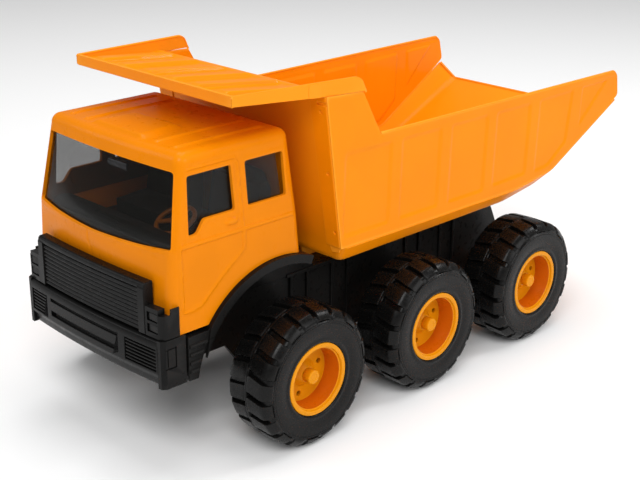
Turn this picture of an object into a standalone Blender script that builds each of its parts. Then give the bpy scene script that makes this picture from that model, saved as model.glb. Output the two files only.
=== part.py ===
"""Toy dump truck: an assembly of separate solids, each in its own named object.

Frame: +Z up, the truck faces -Y, its left side is +X, and the origin is on the ground at the middle of
the whole length. Sizes below are in millimetres, with y counted back from the front axle; everything
hangs on one empty that carries this truck frame into the part's own frame.
"""
import math

import bmesh
import bpy
from mathutils import Matrix, Vector

MM = 0.001
GAP = 0.3                      # clearance between pieces that touch
BEARING_GAP = 0.1              # clearance all round a rod that something turns on

# Wheels and axles
TYRE_RADIUS = 55.0
TYRE_WIDTH = 45.0
TYRE_WALL = 4.0
TYRE_BEAD = 5.0                # the part of its wall that grips the rim
WHEEL_CENTRE_X = 106.0         # middle of the tyre, from the truck's middle
WHEEL_SPACING = 136.0          # from axle to axle
REAR_AXLE = 2 * WHEEL_SPACING
AXLE_HEIGHT = 55.0             # of the axles, in the body's own heights
RIM_RADIUS = 29.0              # outer lip of the rim
RIM_BARREL_RADIUS = 26.0
RIM_LIP = 2.2                  # how thick the lip is, along the axle
DISH_DEPTH = 17.0              # from the lip's face to the dish's floor
WEB = 2.5                      # plastic wall of the dish
RIM_HOLES = 3
RIM_HOLE_RADIUS = 1.9
RIM_HOLE_CIRCLE = 17.0
RIM_HOLE_TURN = 15.0           # the first hole, in degrees up from straight back
BOSS_BASE_RADIUS = 11.0
BOSS_TIP_RADIUS = 6.6
AXLE_RADIUS = 3.0
CAP_RADIUS = 5.6
CAP_LENGTH = 7.0
CAP_INSET = 4.5                # cap's face inboard of the lip's face
WHEEL_SEGMENTS = 36

# Chassis
CHASSIS_HALF = 58.0
CHASSIS_TOP = 112.0
CHASSIS_BOTTOM = AXLE_HEIGHT - 10.0
CHASSIS_WALL = 3.5
CHASSIS_FRONT = -86.0
CHASSIS_REAR = REAR_AXLE + 31.0
CHASSIS_TAIL_RAKE = 14.0       # how far forward the tail's upper corner sits
CHASSIS_NOSE_BOTTOM = 70.0     # the channel is shallower ahead of the front axle
NOSE_STEP = (-32.0, -14.0)     # where its lower edge comes down, front to back
EAR_THICKNESS = 4.0
EAR_HALF_LENGTH = 13.0

# Bed hinge
PIVOT_Y = REAR_AXLE + 13.0
PIVOT_Z = 117.6
PIN_RADIUS = 3.0
PIN_HEAD_RADIUS = 5.5
PIN_HEAD = 2.5
RAIL_X = 41.0                  # middle of the bed's hinge rails
RAIL_THICKNESS = 3.0

# Cab
CAB_WALL = 2.6
CAB_HALF_LOW = 84.0
CAB_HALF_BELT = CAB_HALF_LOW - 0.5
CAB_HALF_TOP = CAB_HALF_LOW - 5.0
CAB_BOTTOM = 108.0
CAB_BELT = 171.0
CAB_TOP = 238.0
CAB_FRONT_LOW = -106.0
CAB_FRONT_BELT = -103.0
CAB_FRONT_TOP = -90.0
CAB_REAR_LOW = 29.0
CAB_REAR_TOP = 16.0
SCREEN_BOTTOM = CAB_BELT
SCREEN_TOP = CAB_TOP - 13.0
SCREEN_HALF_BOTTOM = CAB_HALF_LOW - 5.5
SCREEN_HALF_TOP = CAB_HALF_LOW - 9.0
WINDOW_TOP = CAB_TOP - 16.0
WINDOW_SILL = 188.5
DOOR_WINDOW = [(-82.0, WINDOW_TOP), (-42.0, WINDOW_TOP), (-40.5, WINDOW_SILL), (-69.0, WINDOW_SILL),
               (-76.5, 179.0), (-84.0, 179.0)]
REAR_WINDOW = [(-29.0, WINDOW_TOP), (8.0, WINDOW_TOP), (9.5, WINDOW_SILL), (-28.0, WINDOW_SILL)]
GLASS = 1.4

# Inside the cab
INSERT_LOW, INSERT_HIGH = CAB_BELT + 3.0, SCREEN_TOP + 1.0
DECK_Z = 146.5                 # underside of the tub's deck
DECK_THICKNESS = 3.0
DECK_FRONT, DECK_REAR = -92.0, 16.0
TUB_FRONT, TUB_REAR = -88.0, 18.0
DASH = [(-93.0, DECK_Z + 0.5), (-93.0, 166.0), (-84.0, 170.0), (-70.0, 164.0), (-66.0, DECK_Z + 0.5)]
SEAT = [(-38.0, DECK_Z + 1.5), (-38.0, 160.0), (-8.0, 162.0), (-2.0, 194.0), (6.0, 196.0), (9.0, 190.0),
        (6.0, DECK_Z + 1.5)]
SEAT_X = (12.0, 66.0)
STEERING_CENTRE = (38.0, -60.0, 174.0)
STEERING_TILT = 24.0
STEERING_RADIUS = 15.0
STEERING_RING = 1.7            # radius of the ring's own section
STEERING_HUB = (4.0, 1.6)      # the hub's radius and half its height
COLUMN_RADIUS = 2.4
COLUMN_LENGTH = 3.2
MIRROR_LOW, MIRROR_HIGH = (-11.0, -76.0, 209.0), (11.0, -72.5, 217.0)
MIRROR_STALK_HALF = 1.2

# Bed, made of bent sheet
SHEET = 1.5
BULKHEAD_TOP = (33.5, CAB_TOP + 22.5)  # y and z of the bulkhead's upper edge
BED_FRONT = (56.2, 125.0)      # its foot, where the floor starts
KINK = (REAR_AXLE - 10.0, 125.0)          # where the floor starts to rise
CHUTE = (REAR_AXLE + 38.0, 131.5)
LIP = (REAR_AXLE + 143.0, 181.5)
FLOOR_HALF = 91.0              # half width of the flat floor, inside its sloping edges
EDGE_FRONT = (53.7, 138.0)     # the walls' lower edge, from the front to the tail
EDGE_KINK = (REAR_AXLE - 4.0, 138.0)
EDGE_CHUTE = (REAR_AXLE + 46.0, 145.5)
EDGE_REAR = (REAR_AXLE + 111.0, 182.0)
TAIL_LOW = (REAR_AXLE + 139.0, 200.0)
TAIL_TIP = (REAR_AXLE + 135.0, 219.0)
TAIL_TOP_Y = REAR_AXLE + 130.0
WALL_TOP = 223.6
NOTCH_Y = 90.0                 # where the high front of the wall has come down to the top edge
WALL_HIGH_Y = 72.0
WALL_BASE = 94.3               # half the width over the walls is this, and a share of z, and a share of y
FLARE_UP = 0.03
FLARE_BACK = 0.0188

# Canopy over the cab
CANOPY_HEADROOM = 37.0         # from the cab's roof to the top of the canopy's front edge
CANOPY_FALL = 2.0              # how much lower its rear is
CANOPY_FRONT_Z = CAB_TOP + CANOPY_HEADROOM
CANOPY_REAR_Z = CANOPY_FRONT_Z - CANOPY_FALL
CANOPY_FRONT_Y = -50.0
CANOPY_REAR_Y = 60.0
CANOPY_FRONT_HALF = 92.5
CANOPY_REAR_HALF = 104.0
CANOPY_LIP = (8.0, 13.0)       # depth of its edge flange, front and rear
CANOPY_DROP = (1.0, 11.0)      # how far the deck lies below the flange's top, front and rear
CANOPY_DECK_END = 36.0

# Wheel arch
ARCH_RADIUS = 87.0
ARCH_THICKNESS = 4.0
ARCH_CENTRE_Z = AXLE_HEIGHT
ARCH_PROUD = 4.0               # how far its edge stands out from the cab's side
SKIRT_BOTTOM = 70.0
SKIRT_FRONT = -90.0

# Nose
BUMPER_BOTTOM = 70.0
BUMPER_TOP = 111.0
BUMPER_HALF = CAB_HALF_LOW + 2.0
BUMPER_CORNER_Y = -113.0
BUMPER_BOW = 4.0               # how far the middle stands ahead of the corners
BUMPER_REAR = -91.0
BUMPER_WALL = 5.0
GRILLE_HALF = CAB_HALF_LOW - 17.5
GRILLE_TOP = 147.0
GRILLE_FRONT = -114.5
GRILLE_BACK = -106.5
POD_TOP = 131.0
POD_REAR = -96.0

NOSE_Y = BUMPER_CORNER_Y - BUMPER_BOW
TAIL_Y = LIP[0] + SHEET * math.sin(math.atan2(LIP[1] - CHUTE[1], LIP[0] - CHUTE[0]))
MIDDLE_Y = (NOSE_Y + TAIL_Y) / 2

PAINT = (0.93, 0.45, 0.01)
BLACK = (0.012, 0.012, 0.013)


# ---------------------------------------------------------------- helpers

def clear_scene():
    for obj in list(bpy.data.objects):
        bpy.data.objects.remove(obj, do_unlink=True)


def material(name, colour, roughness, metallic=0.0):
    made = bpy.data.materials.get(name)
    if made:
        return made
    made = bpy.data.materials.new(name)
    made.use_nodes = True
    shader = made.node_tree.nodes["Principled BSDF"]
    shader.inputs["Base Color"].default_value = (*colour, 1)
    shader.inputs["Roughness"].default_value = roughness
    shader.inputs["Metallic"].default_value = metallic
    return made


def orange_paint():
    return material("orange_paint", PAINT, 0.35)


def orange_plastic():
    return material("orange_plastic", PAINT, 0.4)


def black_plastic():
    return material("black_plastic", BLACK, 0.45)


def rubber():
    return material("rubber", (0.01, 0.01, 0.01), 0.6)


def steel():
    return material("steel", (0.6, 0.6, 0.6), 0.3, 1.0)


def glass():
    return material("smoked_glass", (0.05, 0.05, 0.05), 0.1)


def add_object(name, mesh, finish, parent):
    obj = bpy.data.objects.new(name, mesh)
    bpy.context.scene.collection.objects.link(obj)
    if finish and not mesh.materials:
        mesh.materials.append(finish)
    obj.parent = parent
    return obj


def mesh_of(name, points, faces):
    """A mesh from points in millimetres, with its faces turned outwards."""
    mesh = bpy.data.meshes.new(name)
    mesh.from_pydata([Vector(p) * MM for p in points], [], faces)
    work = bmesh.new()
    work.from_mesh(mesh)
    bmesh.ops.recalc_face_normals(work, faces=work.faces)
    work.to_mesh(mesh)
    work.free()
    return mesh


def loft(name, rings, finish, parent):
    """A closed solid through equal rings of points."""
    count = len(rings[0])
    points = [p for ring in rings for p in ring]
    faces = [tuple(range(count)), tuple((len(rings) - 1) * count + i for i in range(count))]
    for k in range(len(rings) - 1):
        for i in range(count):
            j = (i + 1) % count
            faces.append((k * count + i, k * count + j, (k + 1) * count + j, (k + 1) * count + i))
    return add_object(name, mesh_of(name, points, faces), finish, parent)


def box(name, low, high, finish, parent):
    (x0, y0, z0), (x1, y1, z1) = low, high
    ring = [(x0, y0), (x1, y0), (x1, y1), (x0, y1)]
    return loft(name, [[(x, y, z0) for x, y in ring], [(x, y, z1) for x, y in ring]], finish, parent)


def plate_across(name, outline, x0, x1, finish, parent):
    """An outline in y and z, extruded along x."""
    return loft(name, [[(x0, y, z) for y, z in outline], [(x1, y, z) for y, z in outline]], finish, parent)


def plan_prism(name, outline, z0, z1, finish, parent):
    """An outline in x and y, extruded up."""
    return loft(name, [[(x, y, z0) for x, y in outline], [(x, y, z1) for x, y in outline]], finish, parent)


def turned_mesh(name, profile, segments=WHEEL_SEGMENTS):
    """A ring about the x axis: profile is a closed loop of (radius, x), turned through a full circle.
    A flat of the outside faces down, so that the ring stands on it."""
    rings = []
    for k in range(segments):
        angle = 2 * math.pi * (k + 0.5) / segments
        rings.append([(x, r * math.sin(angle), r * math.cos(angle)) for r, x in profile])
    count = len(profile)
    faces = []
    for k in range(segments):
        other = (k + 1) % segments
        for i in range(count):
            j = (i + 1) % count
            faces.append((k * count + i, k * count + j, other * count + j, other * count + i))
    mesh = mesh_of(name, [p for ring in rings for p in ring], faces)
    mesh.shade_smooth()
    mesh.set_sharp_from_angle(angle=math.radians(30))
    return mesh


def rod_mesh(name, profile, segments=24):
    """A solid about the x axis: profile is an open run of (radius, x), and its two ends are closed flat."""
    rings = []
    for r, x in profile:
        rings.append([(x, r * math.sin(2 * math.pi * (k + 0.5) / segments),
                       r * math.cos(2 * math.pi * (k + 0.5) / segments)) for k in range(segments)])
    points = [p for ring in rings for p in ring]
    faces = [tuple(range(segments)), tuple((len(rings) - 1) * segments + i for i in range(segments))]
    for k in range(len(rings) - 1):
        for i in range(segments):
            j = (i + 1) % segments
            faces.append((k * segments + i, k * segments + j, (k + 1) * segments + j, (k + 1) * segments + i))
    mesh = mesh_of(name, points, faces)
    mesh.shade_smooth()
    mesh.set_sharp_from_angle(angle=math.radians(35))
    return mesh


def combine(target, other, operation):
    """A Boolean of two objects, applied, with the second one removed."""
    modifier = target.modifiers.new(operation.lower(), "BOOLEAN")
    modifier.operation = operation
    modifier.solver = "EXACT"
    modifier.object = other
    bpy.context.view_layer.update()
    graph = bpy.context.evaluated_depsgraph_get()
    made = bpy.data.meshes.new_from_object(target.evaluated_get(graph))
    target.modifiers.clear()
    target.data = made
    bpy.data.objects.remove(other, do_unlink=True)
    return target


def cut(target, cutter):
    return combine(target, cutter, "DIFFERENCE")


def join(target, other):
    return combine(target, other, "UNION")


def bore(target, radius, y, z, x0, x1, parent):
    """A round hole along x."""
    cutter = add_object("bore", rod_mesh("bore", [(radius, x0), (radius, x1)]), None, parent)
    cutter.location = (0, y * MM, z * MM)
    return cut(target, cutter)


def mirrored_pair(build, name, parent):
    """The same piece on both sides: build(name, side, parent) with side +1 on the left."""
    return [build(f"{name}_left", 1, parent), build(f"{name}_right", -1, parent)]


# ---------------------------------------------------------------- wheels

def wheel_meshes():
    half = TYRE_WIDTH / 2
    top = TYRE_RADIUS / math.cos(math.pi / WHEEL_SEGMENTS)
    inner = RIM_BARREL_RADIUS + GAP
    seat = half - RIM_LIP - 1.5
    wall, bead = TYRE_WALL, seat - TYRE_BEAD
    tyre = turned_mesh("tyre", [
        (inner, -seat), (RIM_RADIUS + 1, -seat), (RIM_RADIUS + 6, -half + 1), (top - 9, -half),
        (top - 2.5, -half + 2), (top, -half + 6), (top, half - 6), (top - 2.5, half - 2),
        (top - 9, half), (RIM_RADIUS + 6, half - 1), (RIM_RADIUS + 1, seat), (inner, seat),
        (inner, bead), (top - wall - 8, half - wall), (top - wall, half - wall - 4),
        (top - wall, -half + wall + 4), (top - wall - 8, -half + wall), (inner, -bead)])
    face = seat + GAP + RIM_LIP
    floor = face - DISH_DEPTH
    hub_end = -(WHEEL_CENTRE_X - CHASSIS_HALF) + 2.0
    bore_radius = AXLE_RADIUS + BEARING_GAP
    boss_tip = face - CAP_INSET - CAP_LENGTH - GAP
    barrel = RIM_BARREL_RADIUS
    rim = turned_mesh("rim", [
        (RIM_RADIUS, face), (RIM_RADIUS, face - RIM_LIP), (barrel, face - RIM_LIP),
        (barrel, -seat), (barrel - WEB, -seat), (barrel - WEB, floor - WEB),
        (BOSS_TIP_RADIUS + 1.5, floor - WEB), (BOSS_TIP_RADIUS, hub_end), (bore_radius, hub_end),
        (bore_radius, boss_tip), (BOSS_TIP_RADIUS, boss_tip), (BOSS_BASE_RADIUS, floor),
        (barrel - WEB - 0.8, floor), (barrel - WEB, face - 1.0)], segments=30)
    return tyre, rim, face


def drilled_rim(mesh, face, parent):
    """The rim's mesh with its ring of small holes, made once and shared by the six rims."""
    rim = add_object("rim_blank", mesh, orange_plastic(), parent)
    floor = face - DISH_DEPTH
    for k in range(RIM_HOLES):
        angle = math.radians(90 - RIM_HOLE_TURN) + 2 * math.pi * k / RIM_HOLES
        profile = [(RIM_HOLE_RADIUS, floor - 2 * WEB), (RIM_HOLE_RADIUS, floor + WEB)]
        hole = add_object("hole", rod_mesh("hole", profile, segments=8), None, parent)
        hole.location = (0, RIM_HOLE_CIRCLE * math.sin(angle) * MM, RIM_HOLE_CIRCLE * math.cos(angle) * MM)
        cut(rim, hole)
    made = rim.data
    bpy.data.objects.remove(rim, do_unlink=True)
    made.materials.clear()
    made.materials.append(orange_plastic())
    return made


def build_wheels(parent):
    tyre, rim, face = wheel_meshes()
    rim = drilled_rim(rim, face, parent)
    cap_face = WHEEL_CENTRE_X + face - CAP_INSET
    cap = rod_mesh("cap", [(CAP_RADIUS, 0), (CAP_RADIUS, CAP_LENGTH - 1.2), (CAP_RADIUS - 1.2, CAP_LENGTH)])
    axle_half = cap_face - CAP_LENGTH - GAP
    axle = rod_mesh("axle", [(AXLE_RADIUS, -axle_half), (AXLE_RADIUS, axle_half)])
    for row, place in enumerate(("front", "middle", "rear")):
        y = row * WHEEL_SPACING
        rod = add_object(f"axle_{place}", axle, steel(), parent)
        rod.location = (0, y * MM, AXLE_HEIGHT * MM)
        for side, label in ((1, "left"), (-1, "right")):
            turn = 0 if side > 0 else math.pi
            for name, mesh, finish, x in (("tyre", tyre, rubber(), WHEEL_CENTRE_X),
                                          ("rim", rim, orange_plastic(), WHEEL_CENTRE_X),
                                          ("hub_cap", cap, orange_plastic(), cap_face - CAP_LENGTH)):
                piece = add_object(f"{name}_{place}_{label}", mesh, finish, parent)
                piece.location = (side * x * MM, y * MM, AXLE_HEIGHT * MM)
                piece.rotation_euler = (0, 0, turn)


# ---------------------------------------------------------------- chassis and nose

def build_chassis(parent):
    """A moulded channel, open underneath, with two ears for the bed's hinge pin."""
    half, wall = CHASSIS_HALF, CHASSIS_WALL
    outline = [(CHASSIS_FRONT, CHASSIS_NOSE_BOTTOM), (NOSE_STEP[0], CHASSIS_NOSE_BOTTOM),
               (NOSE_STEP[1], CHASSIS_BOTTOM), (CHASSIS_REAR, CHASSIS_BOTTOM), (CHASSIS_REAR, 84.0),
               (CHASSIS_REAR - CHASSIS_TAIL_RAKE, CHASSIS_TOP), (CHASSIS_FRONT, CHASSIS_TOP)]
    chassis = plate_across("chassis_frame", outline, -half, half, black_plastic(), parent)
    inside = box("inside", (-half + wall, CHASSIS_FRONT + wall, CHASSIS_BOTTOM - 5),
                 (half - wall, CHASSIS_REAR - CHASSIS_TAIL_RAKE - wall, CHASSIS_TOP - wall), None, parent)
    cut(chassis, inside)
    for side in (1, -1):
        low, high = sorted((side * (RAIL_X + RAIL_THICKNESS / 2 + GAP),
                            side * (RAIL_X + RAIL_THICKNESS / 2 + GAP + EAR_THICKNESS)))
        ear = [(PIVOT_Y - EAR_HALF_LENGTH, CHASSIS_TOP - 2), (PIVOT_Y + 3.5, CHASSIS_TOP - 2),
               (PIVOT_Y + 6, PIVOT_Z), (PIVOT_Y + 4.5, PIVOT_Z + 4.3), (PIVOT_Y, PIVOT_Z + 6.3),
               (PIVOT_Y - 6, PIVOT_Z + 4.8)]
        join(chassis, plate_across("ear", ear, low, high, None, parent))
    for row in range(3):
        bore(chassis, AXLE_RADIUS + BEARING_GAP, row * WHEEL_SPACING, AXLE_HEIGHT,
             -half - 5, half + 5, parent)
    bore(chassis, PIN_RADIUS + BEARING_GAP, PIVOT_Y, PIVOT_Z, -half, half, parent)
    return chassis


def arch_points(radius, start, end, steps):
    """Points of the wheel arch, by angle from straight back over the top to the front."""
    return [(radius * math.cos(math.radians(start + (end - start) * k / steps)),
             ARCH_CENTRE_Z + radius * math.sin(math.radians(start + (end - start) * k / steps)))
            for k in range(steps + 1)]


def build_arch(name, side, parent):
    """The arch over the front wheel, with the skirt in front of it."""
    start = 68.0
    front = 180 - math.degrees(math.asin((CAB_BOTTOM - 3 - ARCH_CENTRE_Z) / ARCH_RADIUS))
    outer = ARCH_RADIUS - GAP
    inner = outer - ARCH_THICKNESS
    top = arch_points(outer, start, front, 10)
    low = 180 - math.degrees(math.asin((SKIRT_BOTTOM - ARCH_CENTRE_Z) / inner))
    bottom = arch_points(inner, start, low, 12)
    outline = top + [(SKIRT_FRONT, top[-1][1]), (SKIRT_FRONT, SKIRT_BOTTOM)] + bottom[::-1]
    low, high = sorted((side * (CHASSIS_HALF + GAP), side * (CAB_HALF_LOW + ARCH_PROUD)))
    return plate_across(name, outline, low, high, black_plastic(), parent)


def bow(x, corner, half, depth):
    """How the nose stands forward towards its middle."""
    return corner - depth * (1 - (x / half) ** 2)


def build_bumper(parent):
    steps = 8
    front = [(BUMPER_HALF * (2 * k / steps - 1) * 0.985, 0) for k in range(steps + 1)]
    front = [(x, bow(x, BUMPER_CORNER_Y, BUMPER_HALF, BUMPER_BOW)) for x, _ in front]
    outline = front + [(BUMPER_HALF, BUMPER_CORNER_Y + 4), (BUMPER_HALF, BUMPER_REAR),
                       (BUMPER_HALF - BUMPER_WALL, BUMPER_REAR),
                       (BUMPER_HALF - BUMPER_WALL, BUMPER_CORNER_Y + 6)]
    tab = CHASSIS_HALF - 8
    outline += [(tab, BUMPER_CORNER_Y + 6), (tab, CHASSIS_FRONT - GAP), (-tab, CHASSIS_FRONT - GAP),
                (-tab, BUMPER_CORNER_Y + 6)]
    outline += [(-BUMPER_HALF + BUMPER_WALL, BUMPER_CORNER_Y + 6), (-BUMPER_HALF + BUMPER_WALL, BUMPER_REAR),
                (-BUMPER_HALF, BUMPER_REAR), (-BUMPER_HALF, BUMPER_CORNER_Y + 4)]
    bumper = plan_prism("front_bumper", outline, BUMPER_BOTTOM, BUMPER_TOP - 3, black_plastic(), parent)
    for z in (81.0, 94.0):
        slot = box("slot", (-45, NOSE_Y - 5, z), (45, BUMPER_CORNER_Y + 2, z + 5), None, parent)
        cut(bumper, slot)
    return bumper


def build_grille(parent):
    """The louvred panel over the bumper: ribs run across a thin back plate."""
    low = BUMPER_TOP - 3 + GAP
    ribs = 8
    pitch = (GRILLE_TOP - low) / ribs
    outline = [(GRILLE_BACK, low)]
    for k in range(ribs):
        z = low + k * pitch
        outline += [(GRILLE_FRONT, z), (GRILLE_FRONT, z + pitch * 0.55),
                    (GRILLE_FRONT + 2, z + pitch * 0.62), (GRILLE_FRONT + 2, z + pitch)]
    outline[-1] = (GRILLE_FRONT + 2, GRILLE_TOP)
    outline.append((GRILLE_BACK, GRILLE_TOP))
    return plate_across("grille_panel", outline, -GRILLE_HALF, GRILLE_HALF, black_plastic(), parent)


def build_pod(name, side, parent):
    """The small lamp block that wraps the cab's lower corner."""
    inner, outer = GRILLE_HALF + GAP, BUMPER_HALF - 1
    front, wrap = BUMPER_CORNER_Y + 1.5, CAB_HALF_LOW + GAP
    outline = [(inner, front - 1), (outer, front), (outer, POD_REAR), (wrap, POD_REAR), (wrap, GRILLE_BACK),
               (inner, GRILLE_BACK)]
    outline = [(side * x, y) for x, y in outline]
    return plan_prism(name, outline, BUMPER_TOP - 3 + GAP, POD_TOP, black_plastic(), parent)


# ---------------------------------------------------------------- cab

def cab_ring(inset, z):
    """The cab's plan outline at a height, moved in by a wall's thickness."""
    if z <= CAB_BELT:
        t = (z - CAB_BOTTOM) / (CAB_BELT - CAB_BOTTOM)
        half = CAB_HALF_LOW + t * (CAB_HALF_BELT - CAB_HALF_LOW)
        front = CAB_FRONT_LOW + t * (CAB_FRONT_BELT - CAB_FRONT_LOW)
    else:
        t = (z - CAB_BELT) / (CAB_TOP - CAB_BELT)
        half = CAB_HALF_BELT + t * (CAB_HALF_TOP - CAB_HALF_BELT)
        front = CAB_FRONT_BELT + t * (CAB_FRONT_TOP - CAB_FRONT_BELT)
    rear = CAB_REAR_LOW + (z - CAB_BOTTOM) / (CAB_TOP - CAB_BOTTOM) * (CAB_REAR_TOP - CAB_REAR_LOW)
    half, front, rear = half - inset, front + inset, rear - inset
    side = front + 6
    return [(0, front, z), (half * 0.55, front + 1.2, z), (half - 5, front + 3.2, z), (half, side, z),
            (half, rear, z), (-half, rear, z), (-half, side, z), (-half + 5, front + 3.2, z),
            (-half * 0.55, front + 1.2, z)]


def build_cab(parent):
    levels = (CAB_BOTTOM, CAB_BELT, CAB_TOP - 7)
    shell = loft("cab_shell", [cab_ring(0, z) for z in levels]
                 + [cab_ring(2.5, CAB_TOP - 2), cab_ring(7, CAB_TOP)], orange_plastic(), parent)
    inner_levels = (CAB_BOTTOM - 5, CAB_BELT, CAB_TOP - 7)
    cut(shell, loft("inside", [cab_ring(CAB_WALL, z) for z in inner_levels]
                    + [cab_ring(CAB_WALL + 2.5, CAB_TOP - CAB_WALL)], None, parent))
    screen = [(-SCREEN_HALF_BOTTOM, SCREEN_BOTTOM), (SCREEN_HALF_BOTTOM, SCREEN_BOTTOM),
              (SCREEN_HALF_TOP, SCREEN_TOP), (-SCREEN_HALF_TOP, SCREEN_TOP)]
    near, far = CAB_FRONT_LOW - 10, CAB_FRONT_TOP + 4
    rings = [[(x, y, z) for x, z in screen] for y in (near, far)]
    cut(shell, loft("screen", rings, None, parent))
    for outline in (DOOR_WINDOW, REAR_WINDOW):
        cut(shell, plate_across("window", outline, -CAB_HALF_LOW - 5, CAB_HALF_LOW + 5, None, parent))
    arch = arch_points(ARCH_RADIUS, 0, 180, 24)
    cut(shell, plate_across("arch", arch, -CAB_HALF_LOW - 5, CAB_HALF_LOW + 5, None, parent))
    return shell


def build_windows(parent):
    """One clear moulding behind the windscreen and the side windows, shaped like a U in plan."""
    def ring(z):
        out, inn = cab_ring(CAB_WALL + GAP, z), cab_ring(CAB_WALL + GAP + GLASS, z)
        outer = [out[5], out[6], out[7], out[8], out[0], out[1], out[2], out[3], out[4]]
        inner = [inn[4], inn[3], inn[2], inn[1], inn[0], inn[8], inn[7], inn[6], inn[5]]
        cut_back = out[4][1] - 6
        ends = {0: outer, 1: inner}
        for ring_points in ends.values():
            for end in (0, -1):
                x, _, level = ring_points[end]
                ring_points[end] = (x, cut_back, level)
        return outer + inner

    return loft("window_insert", [ring(INSERT_LOW), ring(INSERT_HIGH)], glass(), parent)


def build_interior(parent):
    """The tub: floor, dashboard and two seats in one black moulding."""
    floor = CHASSIS_TOP + GAP
    half = CAB_HALF_LOW - CAB_WALL - 1.5
    reach = CHASSIS_HALF - 4
    tub = box("interior_tub", (-reach, TUB_FRONT, floor), (reach, TUB_REAR, floor + DECK_THICKNESS),
              black_plastic(), parent)
    top = DECK_Z + DECK_THICKNESS
    deck = box("deck", (-half + 2, DECK_FRONT, DECK_Z), (half - 2, DECK_REAR, top), None, parent)
    join(deck, box("web", (-30, -60, floor + 1), (30, 10, DECK_Z + 1.5), None, parent))
    join(tub, deck)
    join(tub, plate_across("dash", DASH, -half + 3, half - 3, None, parent))
    for side in (1, -1):
        low, high = sorted(side * x for x in SEAT_X)
        join(tub, plate_across("seat", SEAT, low, high, None, parent))
    return tub


def ring_about_column(radius, tube, centre, tilt, segments=24, sides=8):
    points = []
    turn = Matrix.Rotation(math.radians(tilt), 3, "X")
    for k in range(segments):
        a = 2 * math.pi * k / segments
        for i in range(sides):
            b = 2 * math.pi * i / sides
            r = radius + tube * math.cos(b)
            place = Vector((r * math.cos(a), r * math.sin(a), tube * math.sin(b)))
            points.append(Vector(centre) + turn @ place)
    faces = []
    for k in range(segments):
        for i in range(sides):
            j, other = (i + 1) % sides, (k + 1) % segments
            faces.append((k * sides + i, k * sides + j, other * sides + j, other * sides + i))
    return points, faces


def build_steering(parent):
    """The wheel, its spokes and, as its own piece, the column it stands on."""
    centre, tilt = Vector(STEERING_CENTRE), STEERING_TILT
    hub_radius, hub_half = STEERING_HUB
    points, faces = ring_about_column(STEERING_RADIUS, STEERING_RING, centre, tilt)
    wheel = add_object("steering_wheel", mesh_of("steering_wheel", points, faces), orange_plastic(), parent)
    turn = Matrix.Rotation(math.radians(tilt), 4, "X")
    rod = rod_mesh("hub", [(hub_radius, -hub_half), (hub_radius, hub_half)], segments=12)
    hub = add_object("hub", rod, None, parent)
    hub.matrix_local = Matrix.Translation(centre * MM) @ turn @ Matrix.Rotation(math.pi / 2, 4, "Y")
    join(wheel, hub)
    for k in range(3):
        spoke = box("spoke", (hub_radius / 2, -1.5, -1.0), (STEERING_RADIUS - 0.4, 1.5, 1.0), None, parent)
        spin = Matrix.Rotation(math.radians(90 + 120 * k), 4, "Z")
        spoke.matrix_local = Matrix.Translation(centre * MM) @ turn @ spin
        join(wheel, spoke)
    top = -hub_half - GAP
    rod = rod_mesh("column", [(COLUMN_RADIUS, top - COLUMN_LENGTH), (COLUMN_RADIUS, top)], segments=12)
    column = add_object("steering_column", rod, black_plastic(), parent)
    column.matrix_local = Matrix.Translation(centre * MM) @ turn @ Matrix.Rotation(-math.pi / 2, 4, "Y")
    return wheel


def build_mirror(parent):
    """The driving mirror hung from the roof by its stalk."""
    mirror = box("rear_view_mirror", MIRROR_LOW, MIRROR_HIGH, black_plastic(), parent)
    half = MIRROR_STALK_HALF
    stalk = box("stalk", (-half, MIRROR_LOW[1] + 0.8, MIRROR_HIGH[2] - 1),
                (half, MIRROR_HIGH[1] - 0.7, CAB_TOP - CAB_WALL - GAP), None, parent)
    return join(mirror, stalk)


# ---------------------------------------------------------------- bed

def wall_x(y, z):
    """The side wall's outer face: half the bed's width at that place."""
    return WALL_BASE + FLARE_UP * z + FLARE_BACK * y


def along_canopy(y, front, rear):
    """A value that changes evenly from the canopy's front to its rear."""
    return front + (y - CANOPY_FRONT_Y) / (CANOPY_REAR_Y - CANOPY_FRONT_Y) * (rear - front)


def canopy_z(y):
    """The top of the canopy's rim."""
    return along_canopy(y, CANOPY_FRONT_Z, CANOPY_REAR_Z)


def build_bed_floor(parent):
    """Bulkhead, floor and chute in one bent sheet, whose edges slope up to the walls' lower edge."""
    reach = SHEET + GAP + 1.4
    top_edge = wall_x(*BULKHEAD_TOP) - reach
    rows = [[(-top_edge, *BULKHEAD_TOP), (-FLOOR_HALF, *BULKHEAD_TOP), (FLOOR_HALF, *BULKHEAD_TOP),
             (top_edge, *BULKHEAD_TOP)]]
    tail_edge = (LIP[0] - 6.5, TAIL_LOW[1] - 4.0)
    for middle, side in ((BED_FRONT, EDGE_FRONT), (KINK, EDGE_KINK), (CHUTE, EDGE_CHUTE), (LIP, tail_edge)):
        edge = wall_x(*side) - reach
        rows.append([(-edge, *side), (-FLOOR_HALF, *middle), (FLOOR_HALF, *middle), (edge, *side)])
    count = len(rows[0])
    points = [p for row in rows for p in row]
    faces = []
    for k in range(len(rows) - 1):
        for i in range(count - 1):
            faces.append((k * count + i, k * count + i + 1, (k + 1) * count + i + 1, (k + 1) * count + i))
    mesh = bpy.data.meshes.new("bed_floor")
    mesh.from_pydata([Vector(p) * MM for p in points], [], faces)
    floor = add_object("bed_floor", mesh, orange_paint(), parent)
    modifier = floor.modifiers.new("sheet", "SOLIDIFY")
    modifier.thickness = SHEET * MM
    modifier.offset = -1
    modifier.use_even_offset = True
    return floor


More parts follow.
